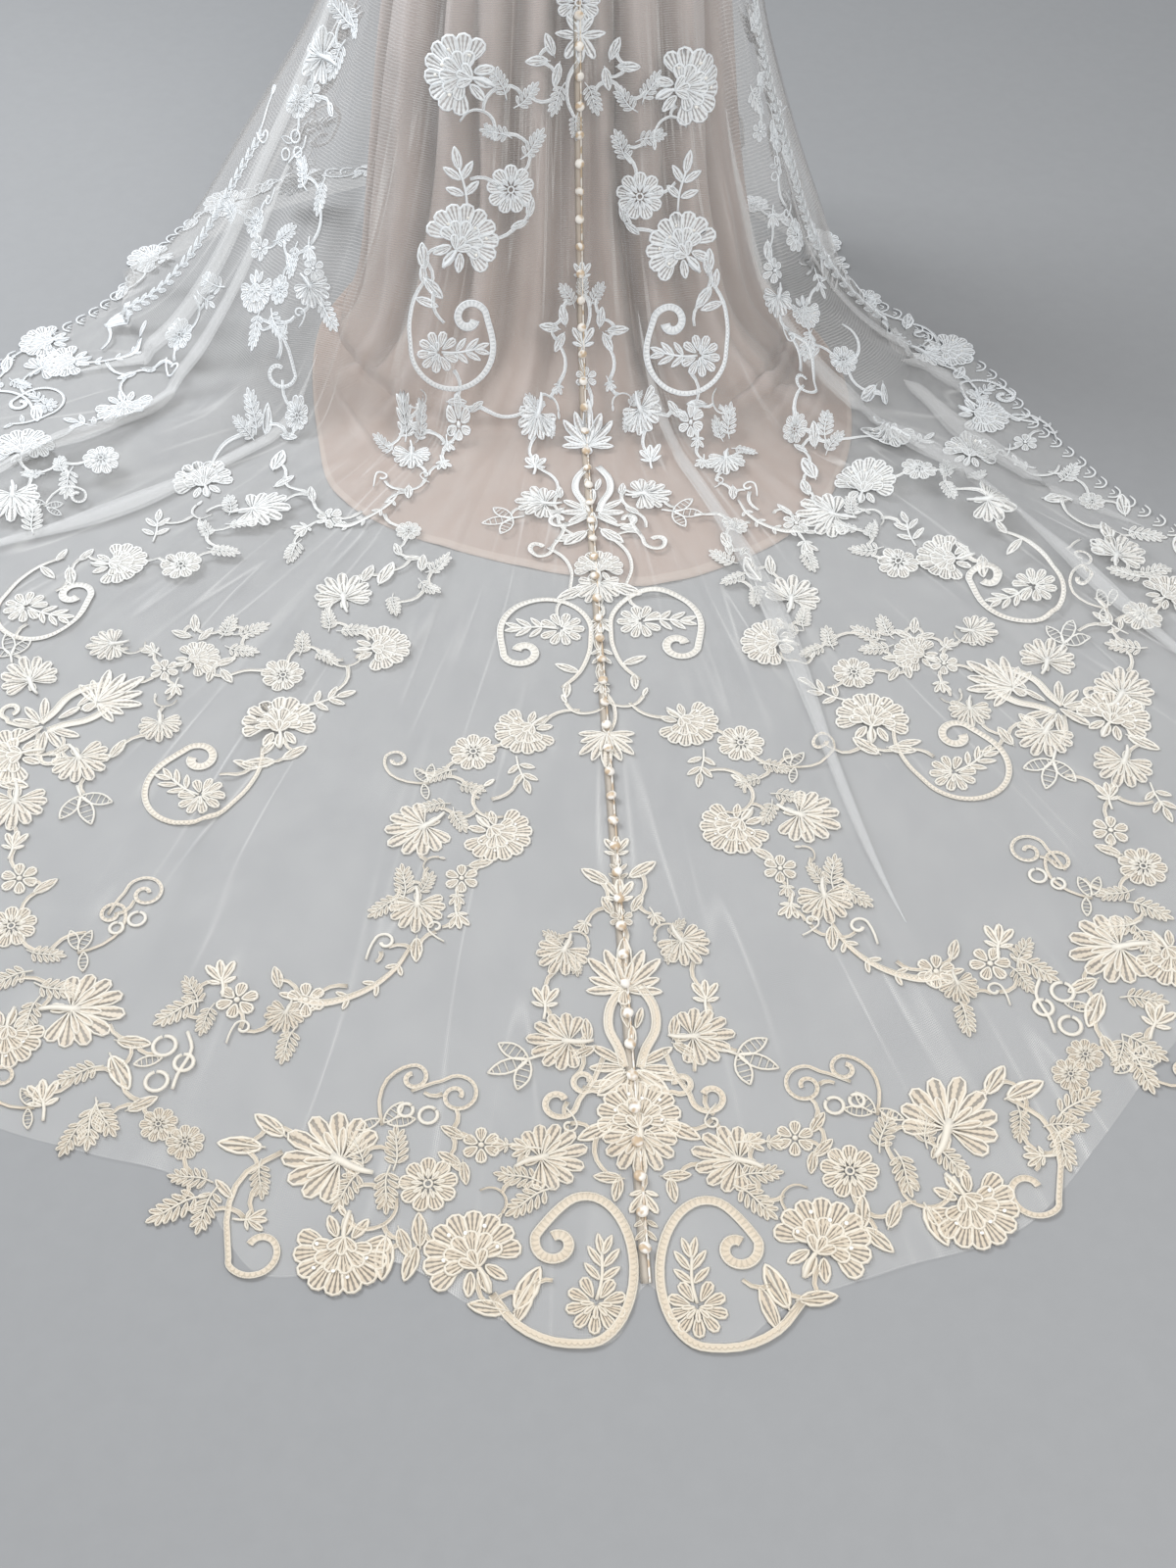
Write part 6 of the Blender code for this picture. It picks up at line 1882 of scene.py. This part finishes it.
# ---------------------------------------------------------------- lace on the cloth
@dataclass
class LaceWork:
    """All the lace: lays motifs on the net and gathers them into one piece for each panel."""

    STEM_ROOT: ClassVar[float] = 0.55
    STEM_WIDTH: ClassVar[float] = 0.0052
    STEM_REACH: ClassVar[float] = 0.115
    STEM_BOW: ClassVar[float] = 0.30
    LEAST_STEM: ClassVar[float] = 0.010
    STEM_SHOULDER: ClassVar[float] = 0.35     # where its bow begins and ends, as a share of its half length
    STEM_STEP: ClassVar[float] = 0.004
    LOOK_AHEAD: ClassVar[float] = 10.0        # pixels that the eye looks ahead for a motif's turn
    SPRAY_SWAY: ClassVar[tuple[float, float]] = (3.0, 9.0)      # degrees to either side, and how fast
    RUN_SWAY: ClassVar[tuple[float, float]] = (0.03, 2.1)       # the same along the hem, up and down
    BACK_MOTIFS: ClassVar[int] = 4        # motifs of a spray that are used higher up the back
    BACK_SIZE: ClassVar[float] = 0.8
    BRAID_LEAF: ClassVar[tuple[float, float, float]] = (0.5, 38.0, 0.55)      # degrees out, turn, size
    SCALLOP_PITCH: ClassVar[float] = 0.026
    CORD_AT: ClassVar[float] = 1.98       # where the hem's cord is measured and where it lies
    SCALLOP_AT: ClassVar[float] = 1.985

    eye: Eye
    face: ClothFace
    book: PatternBook
    panels: tuple[Panel, ...]
    beds: dict[str, bmesh.types.BMesh] = field(default_factory=dict)
    knots: dict[str, list[tuple[Spot, float]]] = field(default_factory=dict)

    def bed(self, name: str) -> bmesh.types.BMesh:
        """The mesh that a piece's motifs are gathered in."""
        if name not in self.beds:
            self.beds[name] = bmesh.new()
            self.beds[name].loops.layers.uv.new(STITCH_UV)
        return self.beds[name]

    def panel_at(self, place: Vector) -> str:
        """The node of the net panel under a place."""
        azimuth = math.degrees(math.atan2(place.x, -place.y))
        for panel in self.panels:
            middle = (panel.first + panel.last) / 2.0
            if abs(angle_between(azimuth, middle)) <= (panel.last - panel.first) / 2.0:
                return panel.node
        return self.panels[-1].node

    def spot(self, origin: Vector, out: Vector, up: Vector) -> Spot:
        """A place on the cloth, with its up direction laid along the surface."""
        up = (up - out * up.dot(out)).normalized()
        return Spot(origin, up.cross(out), up, out)

    def seen_spot(self, place: Place, turn: float) -> Spot:
        """The place on the cloth that the eye sees at a place in the frame.

        Args:
            place: Place in the frame.
            turn: The motif's turn as the eye sees it, clockwise from up.

        Returns:
            The place on the cloth.
        """
        eye = Vector(self.eye.place)
        origin, normal = self.face.meet(eye, self.eye.ray(*place))
        out = self.face.outward(origin, normal)
        x, y = polar(self.LOOK_AHEAD, turn)
        other = self.eye.ray(place[0] + x, place[1] - y)
        ahead = eye + other * ((origin - eye).dot(out) / other.dot(out))
        return self.spot(origin, out, ahead - origin)

    def round_spot(self, azimuth: float, t: float, turn: float) -> Spot:
        """A place on the net by its azimuth and place along the skirt.

        Args:
            azimuth: Degrees from centre back.
            t: Place along the skirt.
            turn: The motif's turn, clockwise from up the skirt.

        Returns:
            The place on the cloth.
        """
        line = NET.patch(azimuth, t, (0.5, 0.01), NET_WALL)
        origin = Vector(line[1, 1])
        out = self.face.outward(origin, Vector(grid_normals(line)[1, 1]))
        up = Vector(line[1, 0] - line[1, 2])
        return self.spot(origin, out, Matrix.Rotation(-math.radians(turn), 3, out) @ up)

    def press(self, bed: str, pattern: bpy.types.Mesh, spot: Spot, size: float) -> None:
        """Lay a flat pattern on the cloth, and drop the flat mesh.

        Args:
            bed: Name of the piece that it goes into.
            pattern: The flat mesh.
            spot: Where it lies.
            size: Its scale.
        """
        local = get_points(pattern)
        across, up, origin = (np.array(part) for part in (spot.across, spot.up, spot.origin))
        flat = origin + np.outer(local[:, 0] * size, across) + np.outer(local[:, 1] * size, up)
        seated = self.face.seat(flat, spot.out, local[:, 2])
        seated[:, 2] = np.maximum(seated[:, 2], FLOOR + LIE + local[:, 2])
        set_points(pattern, seated)
        self.bed(bed).from_mesh(pattern)
        bpy.data.meshes.remove(pattern)

    def lay(self, bed: str, motif: Motif, spot: Spot, size: float, mirrored: bool = False) -> None:
        """Lay a motif on the cloth.

        Args:
            bed: Name of the piece that it goes into.
            motif: The motif.
            spot: Where it lies.
            size: Its scale.
            mirrored: Whether left and right are exchanged.
        """
        pattern = self.book.pattern(motif, mirrored).copy()
        reach = float(np.ptp(get_points(pattern)[:, :2], axis=0).min()) / 2.0 * size
        if motif is not Motif.SCALLOP:
            self.knots.setdefault(bed, []).append((spot, reach))
        self.press(bed, pattern, spot, size)

    def lay_seen(self) -> None:
        """Lay the motifs that are placed by the eye."""
        for motif, place, turn, size in CENTRE_LACE:
            self.lay("lace_centre_back", motif, self.seen_spot(place, turn), size)
        for prefix, table in (("lace_", PAIRED_LACE), ("hem_lace_", HEM_LACE)):
            for motif, left, right, size in table:
                for (x, y, turn), turned in ((left, size < 0.0), (right, size > 0.0)):
                    spot = self.seen_spot((x, y), turn)
                    self.lay(prefix + self.panel_at(spot.origin), motif, spot, abs(size), turned)
        for motif, (x, y, turn), size in SIDE_LACE:
            spot = self.seen_spot((x, y), turn)
            self.lay("lace_" + self.panel_at(spot.origin), motif, spot, size, turn < 0)

    def stem(self, bed: str, first: tuple[Spot, float], last: tuple[Spot, float], bow: float) -> None:
        """Grow a bowed stem from the edge of one motif to the edge of another.

        Args:
            bed: Name of the piece that it goes into.
            first: Where one motif lies, and its reach.
            last: The same of the other.
            bow: How far the stem bows, as a share of its length; below 0 to the left.
        """
        line = last[0].origin - first[0].origin
        start, end = self.STEM_ROOT * first[1], line.length - self.STEM_ROOT * last[1]
        if end - start < self.LEAST_STEM:
            return
        half = (end - start) / 2.0
        middle = first[0].origin + line.normalized() * (start + half)
        shoulder = self.STEM_SHOULDER * half
        path = [(0.0, -half), (bow * half, -shoulder), (bow * half, shoulder), (0.0, half)]
        bench = LaceBench()
        bench.ribbon(path, self.STEM_WIDTH, steps=max(int(half / self.STEM_STEP), 3), taper=(1.1, 0.8))
        out = (first[0].out + last[0].out).normalized()
        self.press(bed, bench.finish("stem", False), self.spot(middle, out, line), 1.0)

    def join(self) -> None:
        """Grow a stem from each motif to the nearest one that is joined already, bed by bed."""
        for bed, knots in self.knots.items():
            places = np.array([spot.origin for spot, _ in knots])
            gaps, parents = np.full(len(knots), np.inf), np.zeros(len(knots), int)
            waiting = np.ones(len(knots), bool)
            newest = 0
            while waiting.any():
                waiting[newest] = False
                near = np.linalg.norm(places - places[newest], axis=1)
                closer = near < gaps
                gaps[closer], parents[closer] = near[closer], newest
                newest = int(np.argmin(np.where(waiting, gaps, np.inf)))
                if waiting[newest] and gaps[newest] < self.STEM_REACH:
                    bow = self.STEM_BOW if newest % 2 else -self.STEM_BOW
                    self.stem(bed, knots[parents[newest]], knots[newest], bow)

    def lay_hidden(self) -> None:
        """Carry the sprays round the sides and front, and up the back."""
        sway, wave = self.SPRAY_SWAY
        for number, azimuth in enumerate(SPRAY_AZIMUTHS):
            for motif, t, turn, size in HIDDEN_SPRAY:
                spot = self.round_spot(azimuth + sway * math.sin(wave * t + number), t, turn)
                self.lay("lace_" + self.panel_at(spot.origin), motif, spot, size, number % 2 == 1)
        for number, azimuth in enumerate(BACK_SPRAYS):
            for motif, t, turn, size in HIDDEN_SPRAY[:self.BACK_MOTIFS]:
                spot = self.round_spot(azimuth, t - BACK_SPRAY_RISE, turn)
                node = self.panel_at(spot.origin)
                self.lay("lace_" + node, motif, spot, self.BACK_SIZE * size, number == 1)

    def lay_rows(self) -> None:
        """Lay the motifs along the hidden stretches of hem, and the braids down the sides."""
        sway, wave = self.RUN_SWAY
        for first, last, t, pitch in HEM_RUNS:
            run = NET.grid(np.linspace(first, last, 9), np.array([t, t + 0.01]), NET_WALL)[:, 0]
            count = max(int(distances(run)[-1] / pitch), 1)
            for number in range(count):
                motif, turn, size = HEM_CYCLE[number % len(HEM_CYCLE)]
                azimuth = first + (last - first) * (number + 0.5) / count
                spot = self.round_spot(azimuth, t + sway * math.sin(wave * number), turn)
                self.lay("hem_lace_" + self.panel_at(spot.origin), motif, spot, size, number % 2 == 1)
        out, turn, size = self.BRAID_LEAF
        for azimuth, first, last in BRAIDS:
            for t in np.arange(first, last, BRAID_STEP):
                for side in (-1, 1):
                    spot = self.round_spot(azimuth + out * side, float(t), side * turn)
                    self.lay("lace_" + self.panel_at(spot.origin), Motif.LEAF, spot, size)

    def edge_hem(self, panel: Panel) -> None:
        """Sew a narrow scalloped cord along a panel's hem."""
        azimuths = np.linspace(panel.first, panel.last, 400)
        line = np.stack([NET.patch(azimuth, self.CORD_AT, (0.1, 0.01), NET_WALL)[1, 1]
                         for azimuth in azimuths])
        lengths = distances(line)
        count = max(int(round(lengths[-1] / self.SCALLOP_PITCH)), 1)
        marks = np.interp(np.linspace(0.0, lengths[-1], count + 1), lengths, azimuths)
        for first, last in zip(marks, marks[1:]):
            spot = self.round_spot((first + last) / 2.0, self.SCALLOP_AT, 180.0)
            self.lay("hem_lace_" + panel.node, Motif.SCALLOP, spot, 1.0)

    def gather(self, materials: tuple[bpy.types.Material, ...]) -> dict[str, bpy.types.Object]:
        """Turn each bed of motifs into a piece.

        Args:
            materials: The thread's, the fill's and the sequins' finishes.

        Returns:
            The pieces by name.
        """
        pieces = {}
        for name, bm in self.beds.items():
            pieces[name] = show(name, close_mesh(bm, name), "lace", *materials)
            if name.startswith("hem_lace_"):
                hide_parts(name.replace("hem_lace_", "lace_border_"))
        for side in ("left", "right"):
            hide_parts(*(f"{node}_{side}" for node in LACE_NODES))
        return pieces


# ---------------------------------------------------------------- buttons and their tape
@dataclass
class ButtonRow:
    """Covered buttons on a narrow tape, with a satin cord beside them."""

    name: str
    line: np.ndarray
    out: np.ndarray
    node: str
    radius: float = 0.0064
    rise: float = 0.0072
    pitch: float = 0.038
    tape_width: float = 0.011
    tape_wall: float = 0.0005

    LOOK: ClassVar[float] = 0.004         # reach of the look along the row for its direction
    SHANK: ClassVar[float] = 0.0012       # gap between a button and the tape
    LEAN: ClassVar[tuple[float, float]] = (0.30, 0.26)      # most that buttons tip across and along the row
    CORD: ClassVar[tuple[float, float, float]] = (0.0024, 0.0022, 0.0018)     # place, width, height
    TAPE_PLACE: ClassVar[float] = -0.001

    def at(self, far: float) -> tuple[np.ndarray, np.ndarray, np.ndarray]:
        """Place, outward direction and direction along the row at a distance down it."""
        lengths = distances(self.line)
        far = min(max(far, 0.0), lengths[-1])

        def read(values: np.ndarray, place: float) -> np.ndarray:
            """Some values of the row at a distance down it."""
            return np.array([np.interp(place, lengths, column) for column in values.T])

        along = read(self.line, far + self.LOOK) - read(self.line, far - self.LOOK)
        return read(self.line, far), unit(read(self.out, far)), unit(along)

    def length(self) -> float:
        """Length of the row."""
        return float(distances(self.line)[-1])

    def strip(self, bm: bmesh.types.BMesh, offset: float, width: float, wall: float, lift: float, sides: int,
              step: float = 0.008) -> None:
        """Add a strip or cord that follows the row.

        Args:
            bm: Mesh to add to.
            offset: Distance to the right of the row.
            width: Width of the strip.
            wall: Its height.
            lift: Height of its underside.
            sides: Sides of its section.
            step: Length of one step.
        """
        steps = int(self.length() / step)
        for vert in add_tube(bm, sides, steps):
            place, out, along = self.at((vert.co.z + 0.5) * self.length())
            right = np.cross(along, out)
            right = -right if right[0] < 0.0 else right
            vert.co = (place + right * (offset + vert.co.x * width / 2.0)
                       + out * (lift + wall * (vert.co.y + 1.0) / 2.0))

    def button(self, bm: bmesh.types.BMesh, number: int) -> None:
        """Sew on one button, tipped its own way."""
        place, out, along = self.at(self.pitch * (number + 0.5))
        across_tip = self.LEAN[0] * math.sin(2.3 * number)
        along_tip = self.LEAN[1] * math.cos(3.1 * number + 0.7)
        axis = Vector(out + across_tip * np.cross(along, out) + along_tip * along).normalized()
        turn = axis.to_track_quat("Z", "Y").to_matrix()
        squash = self.rise / 2.0 / self.radius
        verts = bmesh.ops.create_uvsphere(bm, u_segments=14, v_segments=8, radius=self.radius)["verts"]
        for vert in verts:
            vert.co = turn @ Vector((vert.co.x, vert.co.y, vert.co.z * squash))
        middle = Vector(place) + Vector(out) * (self.rise / 2.0 + self.tape_wall + self.SHANK)
        bmesh.ops.translate(bm, verts=verts, vec=middle)

    def close(self, bm: bmesh.types.BMesh, name: str, finish: bpy.types.Material) -> bpy.types.Object:
        """Turn a finished part of the row into a piece."""
        bmesh.ops.recalc_face_normals(bm, faces=bm.faces)
        return show(name, close_mesh(bm, name), "buttons", finish)

    def build(self, satin: bpy.types.Material, tape: bpy.types.Material) -> list[bpy.types.Object]:
        """Make the buttons, the cord and the tape.

        Args:
            satin: Finish of the buttons and the cord.
            tape: Finish of the tape.

        Returns:
            The pieces.
        """
        bm = bmesh.new()
        count = int((self.length() - self.pitch / 2.0) / self.pitch) + 1
        for number in range(count):
            self.button(bm, number)
        self.strip(bm, *self.CORD, self.tape_wall + SKIN, 6)
        piece = self.close(bm, self.name, satin)
        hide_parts(self.node)
        bm = bmesh.new()
        self.strip(bm, self.TAPE_PLACE, self.tape_width, self.tape_wall, 0.0, 4)
        return [piece, self.close(bm, self.name + "_tape", tape)]


# ---------------------------------------------------------------- bodice
@dataclass
class Bodice:
    """The plain satin bodice: a front, and two backs either side of the buttons."""

    columns: int = 40         # in a quarter of the way round
    rows: int = 44
    wall: float = 0.0012
    radius: float = 0.13      # typical half width, which the seams are spread over

    PANELS: ClassVar[Rows] = (("bodice_back_right", 0.0, 90.0), ("bodice_front", 90.0, 270.0),
                              ("bodice_back_left", -90.0, 0.0))

    def build(self, satin: bpy.types.Material) -> None:
        inset = math.degrees(SEAM / 2.0 / self.radius)
        for node, first, last in self.PANELS:
            count = int(self.columns * (last - first) / 90.0)
            angles = np.linspace(first + inset, last - inset, count + 1)
            points = bodice_grid(angles, self.rows, BODICE_WALL - self.wall - SKIN)
            flat, area = flat_size(points)
            piece = show(node + "_cloth", cloth_mesh(node, points, *flat), "bodice", satin)
            add_wall(piece, self.wall)
            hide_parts(node)
            LOG.info("%s: flat %.2f x %.2f m, %.3f square metres", piece.name, *flat, area)


# ---------------------------------------------------------------- stage
@dataclass(frozen=True)
class Light:
    """A soft area light."""

    name: str
    place: tuple[float, float, float]
    aim: tuple[float, float, float]
    size: float
    power: float
    colour: Colour

    def build(self) -> None:
        """Put the light in the scene."""
        data = bpy.data.lights.new(self.name, "AREA")
        data.energy, data.size, data.color = self.power, self.size, self.colour
        light = bpy.data.objects.new(self.name, data)
        bpy.context.scene.collection.objects.link(light)
        light.location = self.place
        light.rotation_euler = (Vector(self.aim) - Vector(self.place)).to_track_quat("-Z", "Y").to_euler()


@dataclass(frozen=True)
class Stage:
    """Plain floor, soft light and the background."""

    size: float = 7.0
    gap: float = 0.0004       # how far the floor lies under the dress
    floor: Colour = (0.31, 0.313, 0.318)
    sky: Colour = (0.93, 0.96, 1.0)
    sky_strength: float = 0.62
    lights: tuple[Light, ...] = (
        Light("window", (-1.8, 0.5, 1.1), (0.0, -0.7, FLOOR), 1.3, 74.0, (0.94, 0.97, 1.0)),
        Light("room", (0.9, -2.7, 1.1), (0.0, -0.3, -0.7), 1.6, 52.0, (1.0, 0.98, 0.95)),
    )

    def build(self) -> None:
        """Make the floor, the lights and the background."""
        bm = bmesh.new()
        bmesh.ops.create_grid(bm, x_segments=1, y_segments=1, size=self.size)
        bmesh.ops.translate(bm, verts=bm.verts, vec=(0.0, 0.0, FLOOR - self.gap))
        mesh = close_mesh(bm, "floor")
        finish = PlainFinish("floor", self.floor, grain=0.02, depth=0.0004, roughness=0.9)
        mesh.materials.append(finish.make())
        floor = bpy.data.objects.new("floor", mesh)
        bpy.context.scene.collection.objects.link(floor)
        for light in self.lights:
            light.build()
        world = bpy.data.worlds.new("soft_light")
        world.use_nodes = True
        back = world.node_tree.nodes["Background"]
        back.inputs[0].default_value = (*self.sky, 1.0)
        back.inputs[1].default_value = self.sky_strength
        bpy.context.scene.world = world
        bpy.context.scene.view_settings.view_transform = "Standard"


# ---------------------------------------------------------------- the dress
NET_PANELS = (
    Panel("train_left", -50.0, 0.0, 210),
    Panel("train_right", 0.0, 51.5, 210),
    Panel("overskirt_side_left", -108.5, -50.0, 150),
    Panel("overskirt_side_right", 51.5, 103.0, 130),
    Panel("overskirt_front", 103.0, 251.5, 180),
)
SLIP_PANELS = (Panel("slip_back", -90.0, 90.0, 190), Panel("slip_front", 90.0, 270.0, 120))
TUCK_LEAST = 0.0075       # least height of a crease that the net is doubled along
CLEAR_BOUNCES = 24        # layers of lace and net that a ray may pass


def centre_line(rows: np.ndarray) -> tuple[np.ndarray, np.ndarray]:
    """The net's outer face down centre back, and its outward directions."""
    grid = NET.grid(np.array([-0.6, 0.0, 0.6]), rows, NET_WALL)
    return grid[1], grid_normals(grid)[1]


def make_slip() -> SkirtLayer:
    """Make the slip."""
    slip = SkirtLayer(SLIP, SLIP_PANELS, "slip", lift=0.0003, wall=0.0010, rows=skirt_rows(40, 24, 34),
                      held="hung", rests_on=("bodice_front_cloth",))
    satin = SatinFinish("slip_satin", high=(0.53, 0.46, 0.435), low=(0.42, 0.32, 0.27),
                        band=(0.55, 0.46, 0.40), band_width=0.026)
    slip.build(satin.make(), "_cloth")
    return slip


def make_net() -> SkirtLayer:
    """Make the net over the slip."""
    net = SkirtLayer(NET, NET_PANELS, "tulle", lift=0.0006, wall=0.0, rows=skirt_rows(46, 26, 66),
                     held="gathered", rests_on=("slip_back_cloth", "slip_front_cloth"), fullness=1.2)
    net.build(NetFinish().make(), "_net")
    return net


def sew_lace(eye: Eye, net: SkirtLayer) -> dict[str, bpy.types.Object]:
    """Sew all the lace to the net.

    Args:
        eye: The camera, which the lace in sight is placed by.
        net: The net.

    Returns:
        The lace pieces by name.
    """
    lace = LaceWork(eye, ClothFace(net.meshes.values()), PatternBook(), NET_PANELS)
    lace.lay_seen()
    lace.lay_hidden()
    lace.lay_rows()
    lace.join()
    for panel in NET_PANELS[2:]:
        lace.edge_hem(panel)
    thread = LaceFinish("lace_thread").make()
    fill = LaceFinish("lace_fill", slits=True).make()
    sequin = PlainFinish("sequin", (0.93, 0.91, 0.86), grain=0.003, depth=0.00005, roughness=0.12).make()
    pieces = lace.gather((thread, fill, sequin))
    lace.book.clear()
    return pieces


def sew_buttons() -> list[bpy.types.Object]:
    """Sew on both rows of buttons and return the pieces of the train's row."""
    satin = ButtonFinish().make()
    tape = PlainFinish("tape", (0.70, 0.62, 0.52), grain=0.002, depth=0.0002, alpha=0.45).make()
    line, out = centre_line(skirt_rows(60, 40, 110))
    row = ButtonRow("button_row_train", line + out * LIE, out, "button_band_train").build(satin, tape)
    back = bodice_grid(np.array([-2.0, 0.0, 2.0]), 60, BODICE_WALL + LIE)
    ButtonRow("button_row_bodice", back[1], grid_normals(back)[1], "button_band_bodice").build(satin, tape)
    return row


def main() -> None:
    """Build the dress piece by piece."""
    logging.basicConfig(level=logging.INFO, format="%(message)s")
    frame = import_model()
    LOG.info("frame: %d nodes", len(frame["nodes"]))
    eye = Eye()
    eye.build()
    Stage().build()
    bpy.context.scene.cycles.transparent_max_bounces = CLEAR_BOUNCES

    slip, net = make_slip(), make_net()
    satin = SatinFinish("bodice_satin", high=(0.76, 0.71, 0.65), low=(0.72, 0.67, 0.61),
                        band=(0.76, 0.71, 0.65))
    Bodice().build(satin.make())
    pieces = sew_lace(eye, net)
    row = sew_buttons()

    trims: dict[str, list[bpy.types.Object]] = {panel.node: [] for panel in NET_PANELS}
    for name, piece in pieces.items():
        node = name.removeprefix("hem_").removeprefix("lace_")
        trims[node if node in trims else "train_right"].append(piece)
    trims["train_right"] += row
    double = PlainFinish("doubled_net", (0.80, 0.80, 0.79), grain=0.004, depth=0.0002, alpha=0.17).make()
    for panel in NET_PANELS:
        trims[panel.node] += net.tuck(panel, TUCK_LEAST, double)
    slip.declare({})
    net.declare(trims)


if __name__ == "__main__":
    main()
